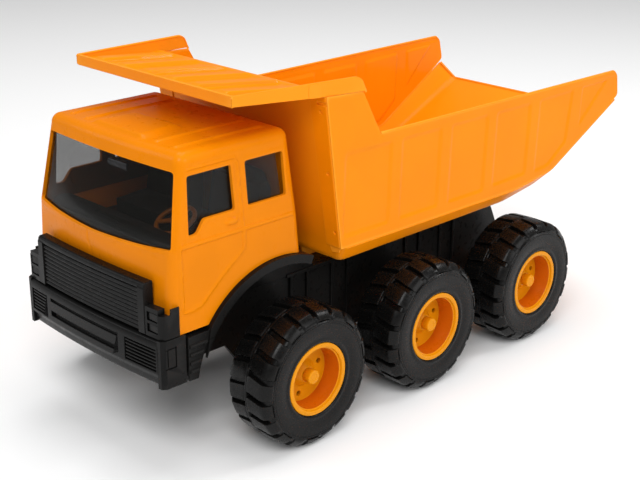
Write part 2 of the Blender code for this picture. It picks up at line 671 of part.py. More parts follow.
def side_outline():
    """The side wall's outline in y and z, from the foot of the bulkhead round to the tail."""

    def under_rim(y):
        return canopy_z(y) - along_canopy(y, *CANOPY_LIP) - GAP

    return [(EDGE_FRONT[0] - 2, EDGE_FRONT[1]), EDGE_KINK, EDGE_CHUTE, EDGE_REAR, TAIL_LOW, TAIL_TIP,
            (TAIL_TOP_Y, WALL_TOP), (NOTCH_Y, WALL_TOP), (WALL_HIGH_Y, under_rim(WALL_HIGH_Y)),
            (BULKHEAD_TOP[0] - 2, under_rim(BULKHEAD_TOP[0] - 2))]


def build_side(name, side, parent):
    outline = side_outline()
    outer = [(side * wall_x(y, z), y, z) for y, z in outline]
    inner = [(side * (wall_x(y, z) - SHEET), y, z) for y, z in outline]
    return loft(name, [outer, inner], orange_paint(), parent)


def build_canopy(parent):
    """The guard over the cab: a deck that slopes down to the bulkhead, with flanges round three sides."""
    def section(y, x_out, x_in, low, high):
        """Four corners at y: x is counted in from the edge, and heights are down from the flange's top."""
        half, top = along_canopy(y, CANOPY_FRONT_HALF, CANOPY_REAR_HALF), canopy_z(y)
        left = half - x_out
        right = half - x_in if x_in is not None else -left
        return [(left, y, top - low), (right, y, top - low), (right, y, top - high), (left, y, top - high)]

    def deck_section(y):
        drop = along_canopy(y, *CANOPY_DROP)
        return section(y, SHEET / 2, None, drop + SHEET, drop)

    canopy = loft("canopy", [deck_section(CANOPY_FRONT_Y + SHEET / 2), deck_section(CANOPY_DECK_END)],
                  orange_paint(), parent)
    front = [section(y, SHEET / 2, None, CANOPY_LIP[0] - 0.1, 0.1)
             for y in (CANOPY_FRONT_Y, CANOPY_FRONT_Y + SHEET)]
    join(canopy, loft("front", front, None, parent))
    for side in (1, -1):
        strip = [[(side * x, y, z) for x, y, z in section(y, 0, SHEET, along_canopy(y, *CANOPY_LIP), 0)]
                 for y in (CANOPY_FRONT_Y, WALL_HIGH_Y - 2)]
        join(canopy, loft("strip", strip, None, parent))
    return canopy


def build_rail(name, side, parent):
    """The bar under the floor that rests on the chassis and turns on the hinge pin."""
    low = CHASSIS_TOP + GAP
    high = BED_FRONT[1] - SHEET - GAP
    start = BED_FRONT[0] + 8
    outline = [(start, low), (PIVOT_Y, low), (PIVOT_Y + 5.5, PIVOT_Z), (PIVOT_Y + 5, high), (start, high)]
    x = side * RAIL_X
    rail = plate_across(name, outline, x - RAIL_THICKNESS / 2, x + RAIL_THICKNESS / 2, orange_paint(), parent)
    return bore(rail, PIN_RADIUS + BEARING_GAP, PIVOT_Y, PIVOT_Z, x - 5, x + 5, parent)


def build_hinge_pin(parent):
    end = RAIL_X + RAIL_THICKNESS / 2 + 2 * GAP + EAR_THICKNESS
    profile = [(PIN_HEAD_RADIUS, -end - PIN_HEAD), (PIN_HEAD_RADIUS, -end), (PIN_RADIUS, -end),
               (PIN_RADIUS, end), (PIN_HEAD_RADIUS, end), (PIN_HEAD_RADIUS, end + PIN_HEAD)]
    pin = add_object("hinge_pin", rod_mesh("hinge_pin", profile), steel(), parent)
    pin.location = (0, PIVOT_Y * MM, PIVOT_Z * MM)
    return pin


def main():
    clear_scene()
    truck = bpy.data.objects.new("truck", None)
    bpy.context.scene.collection.objects.link(truck)
    truck.location = (0, -MIDDLE_Y * MM, (TYRE_RADIUS - AXLE_HEIGHT) * MM)
    build_wheels(truck)
    build_chassis(truck)
    mirrored_pair(build_arch, "wheel_arch", truck)
    build_bumper(truck)
    build_grille(truck)
    mirrored_pair(build_pod, "lamp_block", truck)
    build_cab(truck)
    build_windows(truck)
    build_interior(truck)
    build_steering(truck)
    build_mirror(truck)
    build_bed_floor(truck)
    mirrored_pair(build_side, "bed_side", truck)
    build_canopy(truck)
    mirrored_pair(build_rail, "bed_rail", truck)
    build_hinge_pin(truck)


main()
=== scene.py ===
"""Looks for the toy dump truck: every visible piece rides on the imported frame.

Shapes are written in millimetres in the truck's own frame, with y counted back from the front axle, and
row() carries them into the frame of the part, which is in metres.
"""
import math

import bmesh
import bpy
import numpy as np
from mathutils import Matrix, Vector


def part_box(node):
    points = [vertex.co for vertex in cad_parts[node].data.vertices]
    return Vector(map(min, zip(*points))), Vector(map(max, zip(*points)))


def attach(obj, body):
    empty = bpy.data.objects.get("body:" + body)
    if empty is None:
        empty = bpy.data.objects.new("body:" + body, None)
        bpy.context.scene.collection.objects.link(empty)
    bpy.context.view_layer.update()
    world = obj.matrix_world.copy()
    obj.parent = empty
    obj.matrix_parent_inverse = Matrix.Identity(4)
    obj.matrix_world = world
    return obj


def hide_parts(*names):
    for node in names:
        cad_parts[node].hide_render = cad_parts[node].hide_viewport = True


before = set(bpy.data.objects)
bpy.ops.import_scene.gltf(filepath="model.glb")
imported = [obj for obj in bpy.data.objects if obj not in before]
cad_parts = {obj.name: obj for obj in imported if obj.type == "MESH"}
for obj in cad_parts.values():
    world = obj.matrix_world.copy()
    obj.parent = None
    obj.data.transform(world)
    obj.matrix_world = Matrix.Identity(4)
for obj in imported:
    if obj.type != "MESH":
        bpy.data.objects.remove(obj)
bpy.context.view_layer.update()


MM = 0.001
SIDES = ((1, "left"), (-1, "right"))
low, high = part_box("axle_front")
AXLE_Y = (low.y + high.y) / 2 / MM       # the front axle, in the part's own frame
WHEEL_ROWS = {}
for place in ("front", "middle", "rear"):
    low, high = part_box(f"axle_{place}")
    WHEEL_ROWS[place] = ((low.y + high.y) / 2 / MM - AXLE_Y, (low.z + high.z) / 2 / MM)
AXLE_Z = WHEEL_ROWS["front"][1]
low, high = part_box("tyre_front_left")
WHEEL_X = (low.x + high.x) / 2 / MM


# ---- geometry helpers

def row(points):
    """Points of the truck, in millimetres, carried into the part's frame, in metres."""
    placed = np.array(points, float).reshape(-1, 3)
    placed[:, 1] += AXLE_Y
    return placed * MM


def smooth(t):
    t = np.clip(t, 0.0, 1.0)
    return t * t * (3 - 2 * t)


def grid_faces(rows, cols, start=0, loop_rows=False, loop_cols=False):
    """Quads of a grid of points held row by row."""
    i = np.arange(rows if loop_rows else rows - 1)
    j = np.arange(cols if loop_cols else cols - 1)
    i, j = np.meshgrid(i, j, indexing="ij")
    k, m = (i + 1) % rows, (j + 1) % cols
    faces = np.stack([i * cols + j, i * cols + m, k * cols + m, k * cols + j], -1).reshape(-1, 4) + start
    return faces.tolist()


def shell(outer, inner):
    """A closed sheet between two grids of points."""
    rows, cols = outer.shape[:2]
    count = rows * cols
    points = np.concatenate([outer.reshape(-1, 3), inner.reshape(-1, 3)])
    faces = grid_faces(rows, cols) + grid_faces(rows, cols, count)
    border = list(range(cols)) + [i * cols + cols - 1 for i in range(1, rows)]
    border += [(rows - 1) * cols + j for j in range(cols - 2, -1, -1)]
    border += [i * cols for i in range(rows - 2, 0, -1)]
    for a, b in zip(border, border[1:] + border[:1]):
        faces.append([a, b, b + count, a + count])
    return points, faces


def offset_grid(grid, distance):
    """The grid moved along its own normals."""
    du, dv = np.gradient(grid, axis=0), np.gradient(grid, axis=1)
    normal = np.cross(du, dv)
    normal /= np.linalg.norm(normal, axis=-1, keepdims=True) + 1e-12
    return grid + normal * distance


def loft(rings):
    """A closed solid through equal rings of points, with flat ends."""
    count = len(rings[0])
    points = [p for ring in rings for p in ring]
    faces = [list(range(count)), [(len(rings) - 1) * count + i for i in range(count)]]
    return points, faces + grid_faces(len(rings), count, loop_cols=True)


def prism(outline, axis, ends):
    """An outline extruded along an axis through the stations in ends. It is (y, z), (x, z) or (x, y)."""
    put = {"x": lambda a, b, c: (c, a, b),
           "y": lambda a, b, c: (a, c, b),
           "z": lambda a, b, c: (a, b, c)}[axis]
    return loft([[put(a, b, c) for a, b in outline] for c in ends])


def block(low, high):
    (x0, y0, z0), (x1, y1, z1) = low, high
    return prism([(x0, y0), (x1, y0), (x1, y1), (x0, y1)], "z", (z0, z1))


def merge(*shapes):
    points, faces = [], []
    for shape_points, shape_faces in shapes:
        start = len(points)
        points += [tuple(p) for p in shape_points]
        faces += [[i + start for i in face] for face in shape_faces]
    return points, faces


def bent(shape, change):
    points = np.array(shape[0], float)
    return change(points), shape[1]


def flipped(shape, side):
    """The shape on the left for side 1, or its mirror image on the right for side -1."""
    return bent(shape, lambda p: p * (side, 1, 1))


def circle(radius, steps, y=0.0, z=0.0):
    return [(y + radius * math.cos(a), z + radius * math.sin(a))
            for a in np.arange(steps) * 2 * math.pi / steps]


def divided(points, spacing):
    """A run of points with more put in, so that no step is much longer than spacing. The last is left off."""
    dense = []
    for a, b in zip(points, points[1:]):
        steps = max(1, int(math.dist(a, b) / spacing))
        dense += [tuple(np.array(a) * (1 - t) + np.array(b) * t) for t in np.arange(steps) / steps]
    return dense


def rounded(outline, radius, steps=4):
    """The closed outline with its corners rounded."""
    made = []
    count = len(outline)
    for i in range(count):
        made += corner_arc(outline[i - 1], outline[i], outline[(i + 1) % count], radius, steps)
    return made


def corner_arc(before, corner, after, radius, steps):
    before, corner, after = np.array(before, float), np.array(corner, float), np.array(after, float)
    a, b = before - corner, after - corner
    reach = min(radius, 0.45 * np.linalg.norm(a), 0.45 * np.linalg.norm(b))
    start, end = corner + a / np.linalg.norm(a) * reach, corner + b / np.linalg.norm(b) * reach
    return [tuple((1 - t) ** 2 * start + 2 * t * (1 - t) * corner + t * t * end)
            for t in np.linspace(0, 1, steps + 1)]


def rounded_line(points, radius, steps=5):
    """An open run of points with its inner corners rounded."""
    made = [tuple(points[0])]
    for i in range(1, len(points) - 1):
        made += corner_arc(points[i - 1], points[i], points[i + 1], radius, steps)
    return made + [tuple(points[-1])]


def turned(profile, segments=96):
    """A ring about the x axis: profile is a closed loop of (x, radius)."""
    angle = np.arange(segments) * 2 * math.pi / segments
    x, r = np.array(profile, float).T
    grid = np.stack([np.broadcast_to(x, (segments, len(x))), np.outer(np.sin(angle), r),
                     np.outer(np.cos(angle), r)], -1)
    return grid.reshape(-1, 3), grid_faces(segments, len(x), loop_rows=True, loop_cols=True)


def tube(path, radius, sides=10):
    """A round bar along a run of points."""
    path = np.array(path, float)
    along = np.gradient(path, axis=0)
    along /= np.linalg.norm(along, axis=1, keepdims=True)
    normal = np.cross(along[0], (0.13, 0.31, 0.94))
    rings = []
    for point, way in zip(path, along):
        normal = normal - way * normal.dot(way)
        normal /= np.linalg.norm(normal)
        side = np.cross(way, normal)
        rings.append([point + radius * (math.cos(a) * normal + math.sin(a) * side)
                      for a in np.arange(sides) * 2 * math.pi / sides])
    return loft(rings)


def polygon_distance(y, z, outline):
    """How far each point is from the outline, negative inside it."""
    distance, inside = np.full(np.shape(y), 1e9), np.zeros(np.shape(y), bool)
    for (ay, az), (by, bz) in zip(outline, outline[1:] + outline[:1]):
        distance = np.minimum(distance, segment_distance(y, z, (ay, az), (by, bz)))
        if az != bz:
            crosses = ((az > z) != (bz > z)) & (y < (by - ay) * (z - az) / (bz - az) + ay)
            inside ^= crosses
    return np.where(inside, -distance, distance)


def segment_distance(y, z, a, b):
    ey, ez = b[0] - a[0], b[1] - a[1]
    t = np.clip(((y - a[0]) * ey + (z - a[1]) * ez) / (ey * ey + ez * ez), 0, 1)
    return np.hypot(y - a[0] - t * ey, z - a[1] - t * ez)


def line_distance(y, z, points):
    """How far each point is from an open run of points."""
    distance = np.full(np.shape(y), 1e9)
    for a, b in zip(points, points[1:]):
        distance = np.minimum(distance, segment_distance(y, z, a, b))
    return distance


def raised(distance, width):
    """1 inside an outline, 0 outside it, and smooth over width."""
    return smooth(0.5 - distance / width)


def bead(distance, half):
    """1 along a line, and smooth down to 0 a little past half its width."""
    return smooth(1.15 - distance / half)


def mesh_from(name, shape, placed=True, angle=32):
    """A smooth mesh of a shape. One that isn't placed keeps its own zero."""
    points, faces = shape
    mesh = bpy.data.meshes.new(name)
    points = row(points) if placed else np.array(points, float) * MM
    mesh.from_pydata(points.tolist(), [], faces)
    work = bmesh.new()
    work.from_mesh(mesh)
    bmesh.ops.remove_doubles(work, verts=work.verts, dist=2e-6)
    bmesh.ops.recalc_face_normals(work, faces=work.faces)
    work.to_mesh(mesh)
    work.free()
    mesh.shade_smooth()
    mesh.set_sharp_from_angle(angle=math.radians(angle))
    return mesh


def soften(obj, width, segments=2, angle=35):
    """Rounds the edges of a piece."""
    modifier = obj.modifiers.new("soft_edges", "BEVEL")
    modifier.width = width * MM
    modifier.segments = segments
    modifier.limit_method = "ANGLE"
    modifier.angle_limit = math.radians(angle)
    modifier.harden_normals = True
    modifier.use_clamp_overlap = True
    return obj


def linked(name, data):
    obj = bpy.data.objects.new(name, data)
    bpy.context.scene.collection.objects.link(obj)
    return obj


def add(name, mesh, finish, body, stands_for=(), bevel=0.0):
    """Puts a shape or mesh on a body, in place of the nodes that it stands for."""
    if isinstance(mesh, tuple):
        mesh = mesh_from(name, mesh)
    obj = linked(name, mesh)
    if not mesh.materials:
        mesh.materials.append(finish)
    if bevel:
        soften(obj, bevel)
    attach(obj, body)
    if stands_for:
        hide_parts(*stands_for)
    return obj


def add_paint(name, mesh, stands_for=(), bevel=0.0):
    return add(name, mesh, PAINT, "bed", stands_for, bevel)


def add_trim(name, mesh, stands_for=(), bevel=0.0):
    return add(name, mesh, TRIM, "chassis", stands_for, bevel)


def cut(mesh, *cutters, angle=32):
    """The mesh with each cutter taken out of it."""
    work = linked("work", mesh)
    tools = []
    for shape in cutters:
        tool = linked("tool", mesh_from("tool", shape) if isinstance(shape, tuple) else shape)
        tools.append(tool)
        modifier = work.modifiers.new("cut", "BOOLEAN")
        modifier.operation = "DIFFERENCE"
        modifier.solver = "EXACT"
        modifier.object = tool
    bpy.context.view_layer.update()
    graph = bpy.context.evaluated_depsgraph_get()
    made = bpy.data.meshes.new_from_object(work.evaluated_get(graph))
    for obj in [work] + tools:
        bpy.data.objects.remove(obj, do_unlink=True)
    made.shade_smooth()
    made.set_sharp_from_angle(angle=math.radians(angle))
    return made


# ---- materials

def finish(name, colour, rough, *, shade=0.10, grain=700.0, bump=0.12, depth=0.15, wear=0.25,
           wear_colour=None, patch=18.0, rough_range=0.07, metallic=0.0, coat=0.0, coat_rough=0.08,
           specular=0.5, alpha=1.0, fine=None):
    """A moulded or painted finish: broad patches of colour, a fine skin, and lighter worn edges."""
    made = bpy.data.materials.new(name)
    made.use_nodes = True
    tree = made.node_tree
    shader = tree.nodes["Principled BSDF"]
    coords = tree.nodes.new("ShaderNodeTexCoord")

    def noise(scale, detail=3.0):
        node = tree.nodes.new("ShaderNodeTexNoise")
        node.inputs["Scale"].default_value = scale
        node.inputs["Detail"].default_value = detail
        tree.links.new(coords.outputs["Object"], node.inputs["Vector"])
        return node.outputs["Fac"]

    def remap(value, a, b, low, high):
        node = tree.nodes.new("ShaderNodeMapRange")
        for socket, number in zip(("From Min", "From Max", "To Min", "To Max"), (a, b, low, high)):
            node.inputs[socket].default_value = number
        tree.links.new(value, node.inputs["Value"])
        return node.outputs["Result"]

    def mix(factor, a, b):
        node = tree.nodes.new("ShaderNodeMix")
        node.data_type = "RGBA"
        tree.links.new(factor, node.inputs[0])
        for socket, value in ((node.inputs[6], a), (node.inputs[7], b)):
            if isinstance(value, tuple):
                socket.default_value = (*value, 1)
            else:
                tree.links.new(value, socket)
        return node.outputs[2]

    dark = tuple(c * (1 - shade) for c in colour)
    light = tuple(min(1.0, c * (1 + shade * 0.6)) for c in colour)
    broad = noise(patch, 4.0)
    tone = mix(remap(broad, 0.3, 0.7, 0, 1), dark, light)
    geometry = tree.nodes.new("ShaderNodeNewGeometry")
    edge = remap(geometry.outputs["Pointiness"], 0.515, 0.60, 0, wear)
    worn = wear_colour or tuple(min(1.0, c * 1.35 + 0.02) for c in colour)
    tone = mix(edge, tone, worn)
    tree.links.new(tone, shader.inputs["Base Color"])
    scuffs = noise(patch * 7, 5.0)
    sheen = remap(scuffs, 0.3, 0.75, rough - rough_range, rough + rough_range)
    tree.links.new(sheen, shader.inputs["Roughness"])
    relief = tree.nodes.new("ShaderNodeBump")
    relief.inputs["Strength"].default_value = bump
    relief.inputs["Distance"].default_value = depth * MM
    tree.links.new(noise(grain, 2.0), relief.inputs["Height"])
    if fine:
        second = tree.nodes.new("ShaderNodeBump")
        second.inputs["Strength"].default_value = fine[1]
        second.inputs["Distance"].default_value = fine[2] * MM
        tree.links.new(noise(fine[0], 1.0), second.inputs["Height"])
        tree.links.new(relief.outputs["Normal"], second.inputs["Normal"])
        relief = second
    tree.links.new(relief.outputs["Normal"], shader.inputs["Normal"])
    shader.inputs["Metallic"].default_value = metallic
    shader.inputs["Coat Weight"].default_value = coat
    shader.inputs["Coat Roughness"].default_value = coat_rough
    shader.inputs["Specular IOR Level"].default_value = specular
    shader.inputs["Alpha"].default_value = alpha
    return made


PAINT = finish("bed_paint", (0.86, 0.245, 0.001), 0.36, shade=0.05, grain=420, bump=0.10, depth=0.12,
               coat=0.07, coat_rough=0.10, wear=0.5, wear_colour=(0.95, 0.42, 0.04), specular=0.05,
               fine=(1500, 0.05, 0.05))
CAB = finish("cab_plastic", (0.76, 0.215, 0.001), 0.32, shade=0.06, grain=900, bump=0.06, depth=0.08,
             coat=0.05, coat_rough=0.12, wear=0.35, wear_colour=(0.9, 0.33, 0.02), specular=0.05)
RIM = finish("rim_plastic", (0.72, 0.262, 0.001), 0.32, shade=0.07, grain=1100, bump=0.08, depth=0.08,
             wear=0.35, wear_colour=(0.80, 0.34, 0.01), specular=0.12)
# Painted shade: a darker, redder copy of the rim's orange, put on the barrel deep inside the rim where shade
# falls.
BARREL_PAINTED_SHADE = finish("rim_barrel_painted_shade", (0.55, 0.105, 0.001), 0.30, shade=0.10, grain=1100, bump=0.08,
                depth=0.08, wear=0.2, wear_colour=(0.7, 0.2, 0.01), specular=0.2)
WHEEL_FINISH = finish("control_plastic", (0.46, 0.14, 0.008), 0.38, shade=0.08, grain=1300, bump=0.08)
TRIM = finish("trim_plastic", (0.0032, 0.0031, 0.003), 0.31, shade=0.25, grain=1400, bump=0.16, depth=0.08,
              wear=0.25, wear_colour=(0.035, 0.033, 0.031), specular=0.11, patch=25)
INTERIOR = finish("interior_plastic", (0.016, 0.017, 0.016), 0.5, shade=0.2, grain=1200, bump=0.2, depth=0.1,
                  wear=0.2, wear_colour=(0.05, 0.05, 0.05), specular=0.35)
MIRROR = finish("mirror_plastic", (0.13, 0.13, 0.14), 0.18, shade=0.1, metallic=0.85, bump=0.03, wear=0.3,
                rough_range=0.05)
GLASS = finish("smoked_window", (0.006, 0.006, 0.005), 0.07, shade=0.1, bump=0.03, grain=60, wear=0.0,
               rough_range=0.03, specular=0.35, alpha=0.36, depth=0.02)
RUBBER = finish("tyre_rubber", (0.0036, 0.0035, 0.0034), 0.30, shade=0.2, grain=900, bump=0.22, depth=0.12,
                wear=0.35, wear_colour=(0.020, 0.018, 0.016), specular=0.16, patch=60, rough_range=0.10,
                fine=(3000, 0.08, 0.04))
STEEL = finish("axle_steel", (0.42, 0.42, 0.43), 0.32, metallic=1.0, grain=2500, bump=0.10, shade=0.12,
               wear=0.2, rough_range=0.10)


# ---- wheels

PITCHES = 20                   # tread blocks round each half of the tyre
PITCH = 360 / PITCHES
GROOVE_HALF = 2.25             # in degrees, like the angles in PITCH_ANGLES
PITCH_ANGLES = (0, 1.85, 2.65, 4.5, 6.35, 7.15, 9, 10.85, 11.65, 13.5, 15.35, 16.15)

# Stations of the tyre from the bead to the middle of the tread: x and radius in a groove, then on a block
# if they differ, then on every second block, whose end is undercut, if they differ again.
TYRE_STATIONS = [
    (19.0, 26.4), (19.0, 29.4), (21.0, 29.5), (21.8, 30.2), (22.1, 31.4), (21.6, 32.6), (21.7, 34.0),
    (22.1, 36.5), (22.45, 39.5), (22.5, 42.5), (22.45, 44.6), (22.2, 44.9), (22.2, 45.3), (22.45, 45.6),
    (22.4, 46.3), (22.1, 46.6), (22.1, 46.9), (22.3, 47.2),
    (22.1, 47.7, 22.3, 47.7, 21.3, 47.6), (21.9, 48.1, 22.3, 48.2, 21.2, 47.9),
    (21.4, 48.9, 22.2, 48.7, 22.4, 48.2), (20.8, 49.8, 21.5, 50.2, 21.9, 50.0),
    (19.8, 50.7, 19.0, 52.9, 19.2, 52.8), (18.6, 51.1, 17.7, 54.1), (17.4, 51.3, 16.7, 54.5),
    (14.0, 51.4, 14.0, 54.7), (9.0, 51.5, 9.0, 54.85), (4.0, 51.5, 4.0, 54.95), (1.9, 51.5, 1.9, 55.0),
    (1.5, 51.6, 1.5, 54.9), (1.15, 54.3, 1.15, 54.7), (0.7, 54.6, 0.7, 54.8), (0.0, 54.7, 0.0, 54.85)]


def slant(x):
    """The tread's grooves lean back from the middle to the shoulder, in degrees."""
    return 2.6 * smooth((abs(x) - 2) / 16) * smooth((23.5 - abs(x)) / 2.0)


def tyre_shape():
    """A tyre about the x axis. The blocks of its two halves are half a block out of step."""
    whole = [s + s[-2:] * ((6 - len(s)) // 2) for s in TYRE_STATIONS]
    whole = [(1, s) for s in whole] + [(-1, s) for s in whole[-2::-1]]
    grid = np.zeros((PITCHES * len(PITCH_ANGLES), len(whole), 3))
    for i in range(len(grid)):
        number, step = divmod(i, len(PITCH_ANGLES))
        turn = PITCH_ANGLES[step]
        for j, (side, station) in enumerate(whole):
            if side > 0:
                groove, kind = turn < GROOVE_HALF or turn > PITCH - GROOVE_HALF, number % 2
            else:
                groove, kind = abs(turn - PITCH / 2) < GROOVE_HALF, (number + (turn > PITCH / 2)) % 2
            x, r = station[0:2] if groove else station[2:4] if kind else station[4:6]
            angle = math.radians(PITCH * number + turn + slant(x))
            grid[i, j] = (side * x, r * math.cos(angle), r * math.sin(angle))
    return grid.reshape(-1, 3), grid_faces(*grid.shape[:2], loop_rows=True, loop_cols=True)


LIP_FACE = 21.3                # out from the middle of the tyre to the face of the rim
DISH_FLOOR = 4.3
CAP_FACE = 16.8

RIM_PROFILE = [
    (LIP_FACE, 28.2), (LIP_FACE - 0.2, 28.8), (LIP_FACE - 0.7, 29.0), (19.3, 29.0), (19.1, 28.6),
    (19.1, 26.0), (-18.0, 26.0), (-18.0, 23.5), (1.8, 23.5), (1.8, 8.1), (-46.0, 6.6), (-46.0, 3.1),
    (9.5, 3.1), (9.5, 6.2), (9.2, 6.7), (5.4, 9.9), (4.6, 10.8), (DISH_FLOOR, 11.8), (DISH_FLOOR, 21.9),
    (4.7, 22.9), (5.6, 23.3), (18.7, 24.0), (19.1, 24.2), (19.3, 24.7), (19.5, 25.1), (20.9, 25.3),
    (LIP_FACE - 0.1, 25.5), (LIP_FACE, 25.8)]
CAP_PROFILE = [(9.8, 0.0), (9.8, 5.4), (10.2, 5.6), (15.7, 5.6), (16.3, 5.45), (16.65, 5.1), (CAP_FACE, 4.5),
               (CAP_FACE, 3.2), (CAP_FACE - 0.25, 2.9), (CAP_FACE - 0.25, 0.0)]
HOLE_CIRCLE, HOLE_RADIUS = 17.0, 2.2
HOLE_ANGLES = (15, 135, 255)
# The barrel faces between these radii, and this far out from the middle of the tyre, take the painted shade.
PAINTED_SHADE_RADII, PAINTED_SHADE_REACH = (22.6, 24.3), (5.0, 19.0)


def build_wheels():
    tyre = mesh_from("tyre", tyre_shape(), placed=False, angle=38)
    rim = mesh_from("rim", turned(RIM_PROFILE), placed=False, angle=30)
    holes = []
    for degrees in HOLE_ANGLES:
        y, z = HOLE_CIRCLE * math.cos(math.radians(degrees)), HOLE_CIRCLE * math.sin(math.radians(degrees))
        hole = prism(circle(HOLE_RADIUS, 20, y, z), "x", (0, 8))
        holes.append(mesh_from("hole", hole, placed=False))
    rim = cut(rim, *holes, angle=30)
    rim.materials.append(RIM)
    rim.materials.append(BARREL_PAINTED_SHADE)
    # Faces on the barrel inside the rim take the darker copy of the rim's colour, which is painted shade.
    for face in rim.polygons:
        x, radius = face.center.x / MM, math.hypot(face.center.y, face.center.z) / MM
        if PAINTED_SHADE_RADII[0] < radius < PAINTED_SHADE_RADII[1] and PAINTED_SHADE_REACH[0] < x < PAINTED_SHADE_REACH[1]:
            face.material_index = 1
    cap = mesh_from("cap", turned(CAP_PROFILE, 64), placed=False, angle=30)
    for place, (y, z) in WHEEL_ROWS.items():
        for side, label in SIDES:
            centre = Vector(row([(side * WHEEL_X, y, z)])[0])
            for name, mesh, material, slot in (("tyre", tyre, RUBBER, "tyre_rubber"),
                                               ("rim", rim, RIM, "rim_plastic"),
                                               ("hub_cap", cap, RIM, "rim_plastic")):
                obj = linked(f"look_{name}_{place}_{label}", mesh)
                if not mesh.materials:
                    mesh.materials.append(material)
                obj.location = centre
                obj.rotation_euler = (0, 0, 0 if side > 0 else math.pi)
                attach(obj, f"wheel_{place}_{label}")
                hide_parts(f"{name}_{place}_{label}")


build_wheels()


# ---- bed

SHEET = 1.5
WALL_TOP = 223.6


def wall_x(y, z):
    """The outer face of the wall, which leans out with height and towards the tail."""
    return 94.3 + 0.03 * z + 0.0188 * y


WALL_COLUMNS = [
    ((51.7, 138.0), (31.5, 262.0)), ((88.0, 138.0), (68.8, 260.4)), ((98.0, 138.0), (90.0, WALL_TOP)),
    ((268.0, 138.0), (268.0, WALL_TOP)), ((318.0, 145.5), (318.0, WALL_TOP)),
    ((383.0, 182.0), (383.0, WALL_TOP)), ((404.5, 195.8), (402.0, WALL_TOP)),
    ((411.0, 200.0), (407.0, 219.0))]
WALL_PANELS = [[(y0, 147.0 + lift), (y1, 147.0 + lift * 2), (y1, 214.5), (y0, 214.5)]
               for y0, y1, lift in ((53, 104, 0), (116, 162, 0), (175, 221, 0), (233, 279, 1.5))]
WALL_PANELS += [[(292.0, 215.0), (340.0, 216.0), (336.0, 168.5), (312.5, 150.5), (292.0, 148.5)],
                [(354.0, 216.5), (393.0, 217.0), (354.0, 180.0)]]
PANEL_DEPTH, PANEL_SLOPE = 1.1, 2.4


def wall_grid(spacing=1.5, rows=58):
    columns = []
    for (bottom_a, top_a), (bottom_b, top_b) in zip(WALL_COLUMNS, WALL_COLUMNS[1:]):
        length = max(math.dist(bottom_a, bottom_b), math.dist(top_a, top_b))
        steps = max(2, round(length / spacing))
        for t in np.arange(steps) / steps:
            columns.append((np.array(bottom_a) * (1 - t) + np.array(bottom_b) * t,
                            np.array(top_a) * (1 - t) + np.array(top_b) * t))
    columns.append(tuple(np.array(p) for p in WALL_COLUMNS[-1]))
    share = np.linspace(0, 1, rows)[:, None]
    yz = np.stack([bottom * (1 - share) + top * share for bottom, top in columns])
    return yz[..., 0], yz[..., 1]


def wall_relief(y, z):
    relief = np.zeros(y.shape)
    for outline in WALL_PANELS:
        inside = polygon_distance(y, z, rounded(outline, 3.0, 3)) + 0.6
        relief = np.maximum(relief, raised(inside, PANEL_SLOPE))
    hem = smooth((z - (WALL_TOP - 5.0)) / 1.2) * (y > 92)
    return -PANEL_DEPTH * relief + 0.35 * hem


def build_walls():
    y, z = wall_grid()
    relief = wall_relief(y, z)
    x = wall_x(y, z) + relief - 0.35
    wall = shell(np.stack([x, y, z], -1), np.stack([x - SHEET + 0.2, y, z], -1))
    rim = rounded_line([(90.5, WALL_TOP), (402.0, WALL_TOP), (407.0, 219.0), (411.0, 200.0), (402.0, 194.2)],
                       2.5, 5)
    foot = rounded_line([(51.9, 138.3), (268.0, 138.3), (318.0, 145.8), (383.0, 182.3), (403.0, 194.6)], 6, 5)
    top = [(wall_x(a, b) - 0.9, a, b) for a, b in rim]
    hem = tube(divided(top, 12) + top[-1:], 1.05, 10)
    foot = tube([(wall_x(a, b) - 1.2, a, b) for a, b in foot], 0.85, 8)
    for side, label in SIDES:
        add_paint(f"bed_wall_{label}", flipped(wall, side), [f"bed_side_{label}"])
        add_paint(f"wall_hem_{label}", flipped(hem, side))
        add_paint(f"wall_foot_{label}", flipped(foot, side))


FLOOR_MIDDLE = [(33.5, 260.5), (56.2, 125.0), (262.0, 125.0), (310.0, 131.5), (415.0, 181.5)]
FLOOR_EDGE = [(33.5, 260.5), (53.9, 138.0), (268.0, 138.0), (318.0, 145.5), (408.5, 196.0)]
FLOOR_HALF = 91.0
TRAY_GAP = 1.25                # from the tray's edge to the wall's outer face
BRACE_PLACES, BRACE_HALF = (120.0, 190.0, 250.0), 9.0


